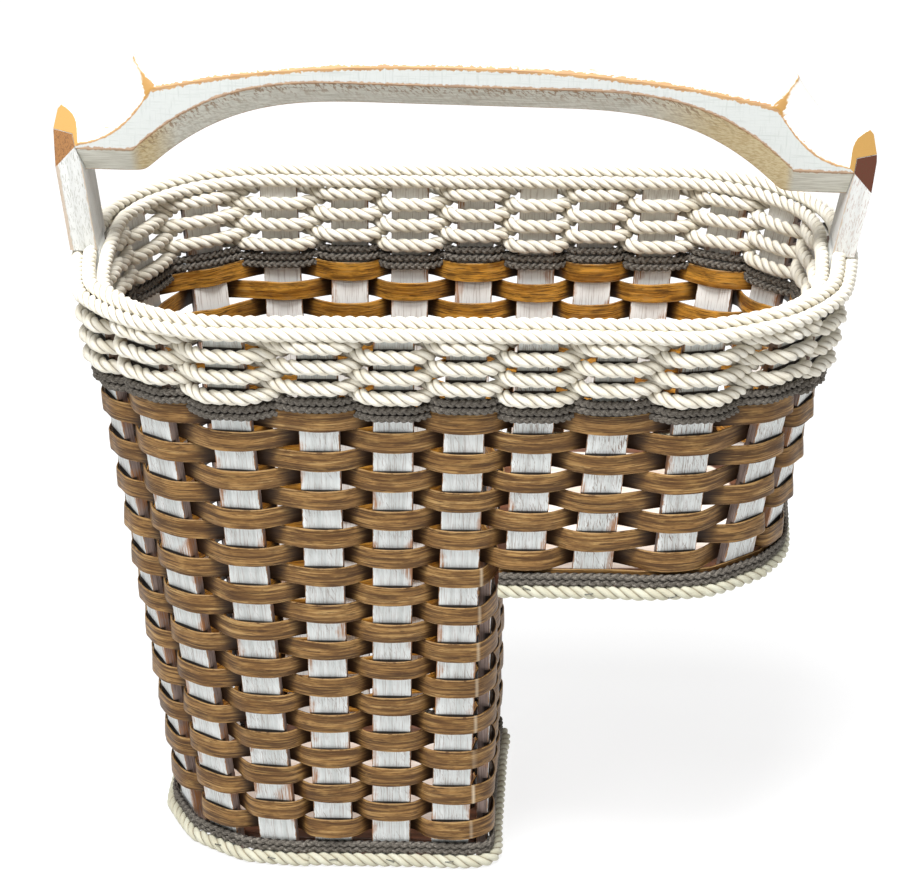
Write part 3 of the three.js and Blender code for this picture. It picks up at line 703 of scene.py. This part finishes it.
def twist_rope(name, controls, closed, scale=1.0, squeeze=0.0, start=0.0, material=cotton):
    """A rope of three strands. Its points follow the strands, with one line of them in each groove.

    A woven rope is squeezed flat where it dives between the stakes."""
    path, distance, total = smooth_run(controls, closed, 1.25 * MM)
    turns = total / ROPE_LAY / scale
    if closed:
        turns = round(turns)
    lead = start - 2 * math.pi * turns * distance / total
    relative = np.radians(np.tile(STRAND_PLACES, 3))
    around = relative + np.repeat([0, 1, 2], len(STRAND_PLACES)) * 2 * math.pi / 3
    angles = lead[:, None] + around
    bulge = np.sqrt(ROPE_STRAND**2 - (ROPE_CORE * np.sin(relative)) ** 2)
    radius = scale * (ROPE_CORE * np.cos(relative) + bulge)
    side = np.abs(path[:, 3]) if path.shape[1] > 3 else np.ones(len(path))
    flat = 1 - squeeze * (1 - np.clip(side, 0, 1))
    away, rise = radius * np.cos(angles), radius * np.sin(angles) * flat[:, None]
    points, faces = skin(swept(path, *frames_along(path, closed), away, rise), closed)
    strands = np.repeat([0.0, 0.03, 0.06], len(STRAND_PLACES))
    grain = places_in(distance[:, None] + start, relative * 3.4 * MM, strands)
    piece = basket_piece(name, points, faces, material, grain, [name], False)
    mark(piece, "groove", np.broadcast_to((np.abs(relative) / (math.pi / 3)) ** 3, angles.shape))
    return piece


def plait_cord(name, controls, closed, shared, height, pitch, start):
    """A cord of three plaited strands. Each crosses from one edge of the cord to the other and back."""
    path, distance, total = smooth_run(controls, closed, pitch / 11)
    out, up = frames_along(path, closed)
    count = max(1, round(total / pitch))
    strand = 0.27 * height
    swing = height / 2 - strand
    around = np.linspace(0, 2 * math.pi, 8, endpoint=False)
    points, faces, grain, grooves = [], [], [], []
    for k in range(3):
        phase = (start + 2 * math.pi * (count * distance / total + k / 3))[:, None]
        lift = np.sin(2 * phase)
        away = 0.62 * strand * lift + strand * np.cos(around)
        rise = swing * np.sin(phase) + strand * 1.05 * np.sin(around)
        new_points, new_faces = skin(swept(path, out, up, away, rise), closed)
        shift = k * len(new_points)
        faces += [tuple(v + shift for v in face) for face in new_faces]
        points.append(new_points)
        grain.append(places_in(distance[:, None] + 0.3 * k, around * strand, 0.1 * k))
        # A point is sunk where its strand runs below another, on the side that it faces, and is painted
        # dark there as shade.
        sunk = 0.45 - 0.55 * lift * np.sign(np.cos(around) + 1e-9)
        grooves.append(np.clip(sunk - 0.5 * (np.abs(np.cos(around)) - 0.55), 0, 1))
    points = np.vstack(points)
    piece = basket_piece(name, points, faces, charcoal, np.array(grain), [shared], False)
    mark(piece, "groove", np.array(grooves))


for shared, height, even in (
    ("grey_cord_upper", 313.2 * MM, True),
    ("grey_cord_lower", 308.2 * MM, False),
):
    for place, rise in (("top", 2.4 * MM), ("bottom", -2.4 * MM)):
        controls = woven_controls(body_ring, height + rise, even, 2.2 * MM, 1.0 * MM, 1.6 * MM, 0.15 * MM)
        start = height * 400 + rise * 300
        plait_cord(f"{shared}_{place}", controls, True, shared, 4.8 * MM, 12 * MM, start)

for row in range(6):
    height = ROPE_HIGHEST - ROPE_SPACING * row
    controls = woven_controls(body_ring, height, row % 2 == 0, 3.6 * MM, 0.9 * MM, 1.5 * MM, 0.15 * MM)
    twist_rope(f"rope_row_{row + 1}", controls, True, 1.02, 0.05, 0.9 * row)

# The rim is bound with the same rope: one outside the stakes, one inside, and a third laid in the
# groove between them, which stops on either side of each upright.
RIM_HEIGHT = 357.6 * MM
FILLER_HEIGHT = 361.9 * MM
RIM_ROPE = 0.98
RIM_GAP = 4.2 * MM


def laid_controls(stakes, height, out, overhang=0.0):
    """Two points for each stake that a rope is laid along."""
    controls = []
    for stake in stakes:
        away = out and math.copysign(stake["thick"] / 2 + abs(out), out)
        for side in (-1, 1):
            controls.append(spot(stake, height, side * (stake["width"] / 2 + overhang), away))
    return controls


for number, (name, out) in enumerate((("rim_rope_outer", RIM_GAP), ("rim_rope_inner", -RIM_GAP))):
    twist_rope(name, laid_controls(body_ring, RIM_HEIGHT, out), True, RIM_ROPE, start=number)
for name, stakes in (
    ("rim_filler_front", [upright_left, *front_stakes, upright_right]),
    ("rim_filler_back", [upright_right, *reversed(back_stakes), upright_left]),
):
    controls = laid_controls(stakes, FILLER_HEIGHT, 0)[1:-1]
    controls[0] = spot(stakes[0], FILLER_HEIGHT, 18 * MM)
    controls[-1] = spot(stakes[-1], FILLER_HEIGHT, -18 * MM)
    twist_rope(name, controls, False, RIM_ROPE, start=2)

# Each foot is bound too. A rope runs round the ends of the stakes and two flat charcoal plaits above
# it. The rope is a darker copy of the cotton, and its underside is painted darker still, as shade.
FOOT_ROPE_RISE = 4.3 * MM
FOOT_ROPE_OUT = 4.3 * MM
FOOT_PLAITS_RISE = 12.3 * MM
SHELF_BASE = 190 * MM
# Painted shade: the foot ropes use a darker copy of the rope's cotton.
shaded_cotton = make_cotton("shaded_cotton", (0.52, 0.50, 0.38), (0.62, 0.61, 0.49))


def foot_run(ring, height, out):
    return laid_controls(ring, height, out, 3 * MM)


for level_name, ring, base, closed, band_room, underside_shade in (
    ("lower", leg_ring, 0, True, 0, 2.1),
    ("upper", shelf_ring, SHELF_BASE, False, 1.6 * MM, 1.0),
):
    route = foot_run(ring, base + FOOT_ROPE_RISE, FOOT_ROPE_OUT)
    rope = twist_rope("foot_rope_" + level_name, route, closed, material=shaded_cotton)
    # Painted shade: points near the bottom of the rope are darkened.
    grooves = rope.data.attributes["groove"].data
    depth = np.empty(len(grooves), dtype=np.float32)
    grooves.foreach_get("value", depth)
    rise = np.array([v.co.z - base for v in rope.data.vertices]) / MM
    grooves.foreach_set("value", np.maximum(depth, np.clip(underside_shade - rise, 0, 1)).astype(np.float32))
    shared = "foot_braid_" + level_name
    for place, rise in (("top", 2.0 * MM), ("bottom", -2.0 * MM)):
        route = foot_run(ring, base + FOOT_PLAITS_RISE + rise, 1.9 * MM + band_room)
        plait_cord(f"{shared}_{place}", route, closed, shared, 4.2 * MM, 15 * MM, base * 9 + rise * 500)

# At the shelf a thin band of wood, stained like the strips, is laid round the stakes first. The
# plaits lie over it.
BAND_AWAY = np.array([0.65, 0.65, 0.35, -0.35, -0.65, -0.65]) * MM
BAND_RISE = np.array([-4.5, 4.2, 4.5, 4.5, 4.2, -4.5]) * MM
path, distance, _ = smooth_run(foot_run(shelf_ring, 203.1 * MM, 0.95 * MM), False, 3 * MM)
points, faces = skin(swept(path, *frames_along(path, False), BAND_AWAY, BAND_RISE), False)
# Its grain is stretched to the width of a strip, so that its edges are worn like one's.
grain = places_in(distance[:, None], BAND_RISE * 1.36, BAND_AWAY)
name = "foot_band_upper"
band = basket_piece(name, points, faces, weaver_stain, grain, [name])
mark(band, "side", 1.0)
mark(band, "fold", 0.0)

# Small dark wire staples pin the two foot ropes. Each lies along the rope with its ends driven in.
# For each: its rope, its place from the middle in millimetres, and in degrees how far up the rope's
# side it sits and how much it slants.
STAPLES = (
    ("lower", -143.3, 32, 8),
    ("lower", -111.6, 25, -6),
    ("lower", -76.1, 25, 10),
    ("lower", -42.3, 25, -12),
    ("lower", -7.5, 25, 4),
    ("upper", 39.5, 45, -20),
    ("upper", 74.8, 8, 6),
    ("upper", 120.2, -12, 14),
)
STAPLE_OUT = 4.15
WIRE_HALF = 0.3 * MM
STAPLE_BEND = ((-2.2, -1.6), (-2.2, -0.3), (-1.9, 0), (1.9, 0), (2.2, -0.3), (2.2, -1.6))


def make_staple_wire():
    material, surface, place = new_finish("staple_wire", 0.38)
    surface["Metallic"].default_value = 0.8
    _, fibres = add_grain(place, 900, 3000, 5)
    tone = mixed(ramped(fibres, 0.4, 0.65), (0.05, 0.055, 0.05), (0.20, 0.20, 0.18))
    coat(surface, tone, fibres, 0.05 * MM, 0.4)
    return material


staple_wire = make_staple_wire()
for number, (level_name, along_x, climb, slant) in enumerate(STAPLES, 1):
    ring, base = (leg_ring, 0) if level_name == "lower" else (shelf_ring, SHELF_BASE)
    route = foot_run(ring, base + FOOT_ROPE_RISE, FOOT_ROPE_OUT)
    path, _, _ = smooth_run(route, level_name == "lower", 1.25 * MM)
    path = path[path[:, 1] < 0]
    out, up = frames_along(path, False)
    here = np.argmin(np.abs(path[:, 0] - along_x * MM))
    climb = math.radians(climb)
    away = Vector(out[here]) * math.cos(climb) + Vector(up[here]) * math.sin(climb)
    run = Vector(out[here]).cross(away).normalized()
    run = Matrix.Rotation(math.radians(slant), 3, away) @ (run if run.x > 0 else -run)
    top = Vector(path[here]) + away * STAPLE_OUT * MM
    bend = [top + run * (along * MM) + away * (high * MM) for along, high in STAPLE_BEND]
    wire, _, _ = smooth_run(bend, False, 0.35 * MM)
    beside = np.tile(away.cross(run).normalized(), (len(wire), 1))
    over = np.cross(unit(np.gradient(wire, axis=0)), beside)
    around = np.linspace(0, 2 * math.pi, 8, endpoint=False)
    wide, high = WIRE_HALF * np.cos(around), WIRE_HALF * np.sin(around)
    points, faces = skin(swept(wire, beside, over, wide, high), False)
    basket_piece(f"staple_{number}", points, faces, staple_wire, points, [], False)

# The handle's uprights rise from the rim as thick blades. Handle and uprights were shaped together
# and lean a little to the right, so they are laid out in millimetres in a frame of their own. At
# each end a slanting flat facet takes off the front corner and the back corner of both.
HANDLE_RISE = 448.2
HANDLE_FRAME = (
    Matrix.Translation((1.5 * MM, 0, HANDLE_RISE * MM))
    @ Matrix.Rotation(math.radians(1.55), 4, "Y")
    @ Matrix.Translation((0, 0, -HANDLE_RISE * MM))
)
HANDLE_HALF = 232.5
HANDLE_END_HALF = 17.5
SEAM = 424.7
UPRIGHT_THICK = 14.0
SHOULDER = 362.0
FACET_FACES = np.array([0.495, 0.747, 0.441]) / math.sqrt(0.495**2 + 0.747**2 + 0.441**2)
FACET_REACH = FACET_FACES @ np.array([218.4, 10.2, 431.4])
FLAT_ENDS = [(np.array([end, 0.0, 0.0]), HANDLE_HALF) for end in (-1, 1)]
LEANING_REACH = 0.98 * HANDLE_HALF + 0.199 * SEAM
LEANING_ENDS = [(np.array([0.98 * end, 0.0, 0.199]), LEANING_REACH) for end in (-1, 1)]
FACETS = [(FACET_FACES * (end, face, 1), FACET_REACH) for end in (-1, 1) for face in (-1, 1)]


def from_handle(points):
    return [HANDLE_FRAME @ (Vector(p) * MM) for p in points]


def joint_line(upright, side):
    """Heights and distances out of the joint between the bar and an upright's inner face."""
    inner = -upright["thick"] / 2
    places = [HANDLE_FRAME.inverted() @ spot(upright, h, 0, inner) / MM for h in (0.36, 0.46)]
    slope = side * (places[1].x - places[0].x) / (places[1].z - places[0].z)
    start = side * places[0].x - slope * places[0].z
    line = [(z, start + slope * z) for z in (340.0, 406.0)]
    line.append((SEAM + 3, max(start + slope * (SEAM + 3), 221.6)))
    return line, start, slope


def sliced(points, faces, planes):
    """A closed shape after cuts by flat planes, each given by its outward direction and distance."""
    shape = bmesh.new()
    corners = [shape.verts.new(tuple(p)) for p in points]
    for face in faces:
        shape.faces.new([corners[k] for k in face])
    bmesh.ops.recalc_face_normals(shape, faces=shape.faces)
    for outward, distance in planes:
        plane = dict(plane_co=outward * distance, plane_no=outward, clear_outer=True, dist=1e-4)
        bmesh.ops.bisect_plane(shape, geom=[*shape.verts, *shape.edges, *shape.faces], **plane)
        bmesh.ops.holes_fill(shape, edges=[edge for edge in shape.edges if edge.is_boundary], sides=0)
    shape.verts.index_update()
    kept = np.array([tuple(v.co) for v in shape.verts])
    kept_faces = [tuple(v.index for v in face.verts) for face in shape.faces]
    shape.free()
    return kept, kept_faces


def mark_cuts(piece, local):
    """Marks the faces that the slanting facets and the flat ends left."""
    cuts = []
    for polygon in piece.data.polygons:
        middle = np.mean([local[v] for v in polygon.vertices], axis=0)
        gaps = [outward @ middle - distance for outward, distance in FACETS + FLAT_ENDS + LEANING_ENDS]
        cuts.append(float(min(np.abs(gaps)) < 0.05))
    mark(piece, "cut", cuts, "FACE")


def make_upright_paint():
    material, surface, place = new_finish("upright_paint", 0.6)
    right = marked(place, "right")
    streaks, fibres = add_grain(place, 260, 1300, 24)
    edges, sides = add_wear(place, HANDLE_END_HALF * MM, UPRIGHT_THICK / 2 * MM, 0.8 * MM)
    paint = mixed(ramped(streaks, 0.3, 0.7), (0.57, 0.58, 0.565), (0.68, 0.69, 0.675))
    dashes = times(times(add_dashes(place, 0, 1900, 7, 0.55, 0.64), sides), 0.6)
    few = times(add_dashes(place, 2, 900, 14, 0.62, 0.70), 0.6)
    strokes = worked_out("MAXIMUM", dashes, few)
    paint = mixed(strokes, paint, mixed(right, (0.19, 0.18, 0.13), (0.30, 0.13, 0.075)))
    paint = mixed(times(edges, 0.6), paint, (0.44, 0.30, 0.18))
    pores = times(add_dashes(place, 0, 1500, 5, 0.5, 0.62), 0.7)
    # Painted shade: the right upright's bare cut wood is much darker than the left's.
    bare = mixed(right, (0.27, 0.125, 0.040), (0.085, 0.022, 0.009))
    bare = mixed(pores, bare, (0.075, 0.030, 0.012))
    coat(surface, mixed(marked(place, "cut"), paint, bare), fibres, 0.2 * MM)
    return material


upright_paint = make_upright_paint()
for upright, side in ((upright_left, -1), (upright_right, 1)):
    name = upright["name"]
    # The tail runs from the foot up into the shoulder, which rests on the rim ropes.
    low, high, steps = upright["foot"].z, (SHOULDER + 4) * MM, 24
    levels = [(low + (high - low) * i / steps, 0) for i in range(steps + 1)]
    points, faces, grain = slat_shape(upright, levels)
    tail = basket_piece(name + "_tail", points, faces, upright_paint, grain, [name])
    mark(tail, "cut", 0.0, "FACE")
    mark(tail, "right", (1 + side) / 2)

    line, start, slope = joint_line(upright, side)
    sections = []
    for level in [SHOULDER + side * 5.6, *np.arange(372, 406, 4.0), 406.0, 412.0, 418.0, SEAM + 2]:
        inner = np.interp(level, *zip(*line))
        outer = start + slope * level + UPRIGHT_THICK - 1.4 * side
        for x, y in ((inner, -1), (outer, -1), (outer, 1), (inner, 1)):
            sections.append((side * x, y * HANDLE_END_HALF, level))
    blade_points, blade_faces = skin(np.array(sections).reshape(-1, 4, 3), False)
    top_cut = (np.array([0.0, 0.0, 1.0]), SEAM)
    local, faces = sliced(blade_points, blade_faces, [top_cut, *FLAT_ENDS, *FACETS])
    depth = side * local[:, 0] - start - slope * local[:, 2] - UPRIGHT_THICK / 2
    grain = np.column_stack([local[:, 2], local[:, 1], depth]) * MM
    points = from_handle(local)
    blade = basket_piece(
        name + "_blade", points, faces, upright_paint, grain, [name], True, 20
    )
    mark_cuts(blade, local)
    mark(blade, "right", (1 + side) / 2)

# The bar is an arch with a rounded top, a narrow flat face front and back and a chamfer below it.
# Near each end its top drops from a horn into a scoop, and a rabbet below takes the upright.
SEAM_GAP = 0.3
HORN_AT = 175.0
UNDER_HALF = 10.5
CROWN = 14.0


def bar_heights(x):
    """Heights of the underside, of the chamfer's upper edge and of the top edge, at a distance out.

    They follow the bar's outline in the photo, in millimetres."""
    arch = 472.3 - 18.4 * (min(x, HORN_AT) / HORN_AT) ** 2.3
    scoop = 420.6 + 33.3 * max(0, 1 - (x - HORN_AT) / 50) ** 2.6
    rise = (179.5 - x) / 131
    rise = min(1, (rise + math.hypot(rise, 0.02)) / 2)
    under = 403.4 + 44.8 * (1 - (1 - rise) ** 3)
    chamfer = 418.0 + 43.7 * (1 - (1 - min(1, max(0, (186 - x) / 131))) ** 3)
    return under, chamfer, arch if x <= HORN_AT else scoop


def bar_blank():
    """The bar before its ends are cut: points, faces, and for each point its marks."""
    middle_part = [*np.arange(0, 160, 5.0), *np.arange(160, HORN_AT, 2.5)]
    places = [*middle_part, *np.arange(HORN_AT, 215, 1.5), *np.arange(215, 248, 3.0)]
    sections, marks = [], []
    for place in [-p for p in places[:0:-1]] + places:
        x, side = abs(place), (1 if place > 0 else -1)
        under, chamfer, edge = bar_heights(x)
        share = min(1, x / HORN_AT)
        to_end = share * share * (3 - 2 * share)
        half = (38 - 3 * to_end) / 2
        slope_run = half - UNDER_HALF
        outer = UNDER_HALF + slope_run * np.array([0.3, 0.55, 0.75, 0.9, 0.97, 1.0])
        columns = [*-outer[::-1], *np.linspace(-UNDER_HALF, UNDER_HALF, 11), *outer]
        slant = math.hypot(slope_run, chamfer - under)
        last = min(1, max(0, (x - 190) / 28))
        crown_high, crown_round = CROWN + 3 * last, 2.75 - 1.55 * last
        top, bottom, top_marks, bottom_marks = [], [], [], []
        for y in columns:
            v = abs(y) / half
            crown = crown_high * (1 - v**crown_round)
            top.append((side * (x + 11.5 * to_end * (1 - v * v)), y, edge + crown))
            from_edge = math.hypot(half - abs(y), crown)
            top_marks.append((from_edge, edge - chamfer + from_edge, 30.0, place))
            down = max(0, abs(y) - UNDER_HALF) / slope_run
            bottom.append((side * x, y, under + (chamfer - under) * down))
            from_under = slant * down if down else UNDER_HALF - abs(y)
            below = slant * (1 - down)
            bottom_marks.append((edge - chamfer + below, below, from_under, place))
        sections += top + bottom[::-1]
        marks += top_marks + bottom_marks[::-1]
    points, faces = skin(np.array(sections).reshape(-1, 2 * len(columns), 3), False)
    return points, faces, np.array(marks)


def plain_object(name, points, faces):
    made = bpy.data.objects.new(name, closed_mesh(name, points, faces))
    scene.collection.objects.link(made)
    return made


def cut_rabbets(points, faces):
    """The bar with a place cut below each end for the top of its upright."""
    blank = plain_object("bar_blank", points, faces)
    blocks = []
    for upright, side in ((upright_left, -1), (upright_right, 1)):
        line, _, _ = joint_line(upright, side)
        high, far_out, far_aside = SEAM + SEAM_GAP, 260.0, 40.0
        profile = [(x - SEAM_GAP, z) for z, x in line[:2]]
        profile.append((np.interp(high, *zip(*line)) - SEAM_GAP, high))
        profile += [(far_out, high), (far_out, line[0][0])]
        count = len(profile)
        corners = [(side * x, y, z) for y in (-far_aside, far_aside) for x, z in profile]
        block_faces = [tuple(range(count)), tuple(range(count, 2 * count))]
        block_faces += [(k, (k + 1) % count, count + (k + 1) % count, count + k) for k in range(count)]
        blocks.append(plain_object("rabbet_block", corners, block_faces))
        rabbet = blank.modifiers.new("rabbet", "BOOLEAN")
        rabbet.operation = "DIFFERENCE"
        rabbet.solver = "EXACT"
        rabbet.object = blocks[-1]
    cut = bpy.data.meshes.new_from_object(blank.evaluated_get(bpy.context.evaluated_depsgraph_get()))
    cut_points = np.array([tuple(v.co) for v in cut.vertices])
    cut_faces = [tuple(p.vertices) for p in cut.polygons]
    for used in (blank, *blocks):
        bpy.data.objects.remove(used)
    return cut_points, cut_faces


def window(value, rise_from, rise_to, fall_from, fall_to):
    """1 between two limits along a value, with soft ends."""
    rise = ramped(value, rise_from, rise_to)
    return times(rise, ramped(value, fall_from, fall_to, 1, 0))


def make_bar_paint():
    material, surface, place = new_finish("bar_paint", 0.55)
    along = part_of(place, 0)
    front, chamfer = marked(place, "front"), marked(place, "chamfer")
    from_edge, from_chamfer = marked(place, "from_edge"), marked(place, "from_chamfer")
    streaks, fibres = add_grain(place, 200, 1300, 22)
    thread = ramped(fibres, 0.4, 0.65)
    paint = mixed(ramped(streaks, 0.3, 0.7), (0.80, 0.765, 0.70), (0.86, 0.84, 0.80))
    scratch = add_dashes(place, 8, 700, 14, 0.60, 0.70)
    close = ramped(from_edge, 0.5, 12.0, 0.9, 0.15)
    paint = mixed(times(scratch, close), paint, (0.40, 0.17, 0.045))

    # The flat faces were brushed across, which left faint upright lines.
    turned = {0: part_of(place, 2), 1: part_of(place, 0), 2: part_of(place, 1)}
    brushed = node(place, "ShaderNodeCombineXYZ", turned).outputs["Vector"]
    _, strokes = add_grain(brushed, 200, 800, 10)
    _, level_strokes = add_grain(place, 200, 800, 16)
    crossed = ramped(worked_out("MAXIMUM", strokes, level_strokes), 0.50, 0.72)
    paint = mixed(front, paint, mixed(crossed, (0.575, 0.60, 0.585), (0.49, 0.52, 0.50)))

    # The chamfers are rubbed down to grey wood, and to tan wood near the ends.
    grey = mixed(thread, (0.70, 0.70, 0.63), (0.52, 0.51, 0.44))
    tan = mixed(thread, (0.68, 0.58, 0.36), (0.52, 0.39, 0.20))
    tan_right = window(along, 90 * MM, 150 * MM, 181 * MM, 187 * MM)
    tan_left = window(along, -189 * MM, -181 * MM, -178 * MM, -158 * MM)
    bare = mixed(worked_out("MAXIMUM", tan_right, tan_left), grey, tan)
    climb = window(along, -186 * MM, -180 * MM, 120 * MM, 170 * MM)
    streak = times(add_dashes(brushed, 38, 620, 6, 0.50, 0.58), climb)
    streak = times(streak, ramped(from_chamfer, 1.0, 12.0, 0.85, 0.15))
    paint = mixed(chamfer, paint, mixed(streak, bare, (0.27, 0.165, 0.085)))

    # Paint is rubbed off every edge, in a line as wide as the wear went, and most at the horns.
    chips = noise(place, 420.0, 4.0)
    ragged = worked_out("MULTIPLY_ADD", chips, 2.4, -0.4)
    gold = mixed(thread, (0.50, 0.27, 0.08), (0.36, 0.17, 0.045))
    rust = mixed(thread, (0.46, 0.26, 0.12), (0.30, 0.15, 0.06))
    level_part = window(worked_out("ABSOLUTE", along), 0, 1 * MM, 176 * MM, 179 * MM)
    wide = worked_out("ADD", level_part, 0.9)
    for gap, width, line_tone, strength in (
        (from_edge, wide, gold, 0.9),
        (from_chamfer, 1.3, rust, 0.8),
        (marked(place, "from_under"), 0.7, rust, 0.6),
    ):
        left_over = worked_out("SUBTRACT", times(ragged, width), gap)
        paint = mixed(ramped(left_over, -0.25, 0.35, 0, strength), paint, line_tone)
    spread = ramped(from_edge, 0, 12, 2.5, 0.5)
    limit = times(worked_out("MULTIPLY_ADD", chips, 3.0, -0.3), spread)
    left_over = worked_out("SUBTRACT", limit, marked(place, "from_horn"))
    on_top = worked_out("SUBTRACT", 1.0, worked_out("MAXIMUM", front, chamfer))
    near = times(ramped(left_over, -0.6, 0.8, 0, 0.97), on_top)
    paint = mixed(near, paint, (0.40, 0.215, 0.05))

    right = ramped(along, -1 * MM, 1 * MM)
    # Painted shade: the right end's bare wood is darker than the left's.
    end_grain = mixed(right, (0.50, 0.285, 0.085), (0.42, 0.24, 0.065))
    end_grain = mixed(ramped(fibres, 0.5, 0.7, 0, 0.35), end_grain, (0.50, 0.27, 0.08))
    coat(surface, mixed(marked(place, "cut"), paint, end_grain), fibres, 0.2 * MM, 0.4)
    return material


blank_points, blank_faces, blank_marks = bar_blank()
local, faces = cut_rabbets(*sliced(blank_points, blank_faces, LEANING_ENDS + FACETS))
nearest = KDTree(len(blank_points))
for index, point in enumerate(blank_points):
    nearest.insert(point, index)
nearest.balance()
marks = np.array([blank_marks[nearest.find(point)[1]] for point in local])
grain = np.column_stack([marks[:, 3], local[:, 1], local[:, 2]]) * MM
points, bar_paint = from_handle(local), make_bar_paint()
bar = basket_piece(
    "handle_bar_carved", points, faces, bar_paint, grain, ["handle_bar"], True, 24
)
for column, mark_name in enumerate(("from_edge", "from_chamfer", "from_under")):
    mark(bar, mark_name, marks[:, column])
mark(bar, "from_horn", np.abs(np.abs(marks[:, 3]) - HORN_AT))
mark_cuts(bar, local)
normals = [polygon.normal for polygon in bar.data.polygons]
mark(bar, "front", [float(abs(n.y) > 0.95 and abs(n.z) < 0.15) for n in normals], "FACE")
mark(bar, "chamfer", [float(n.z < -0.2 and abs(n.y) > 0.3) for n in normals], "FACE")
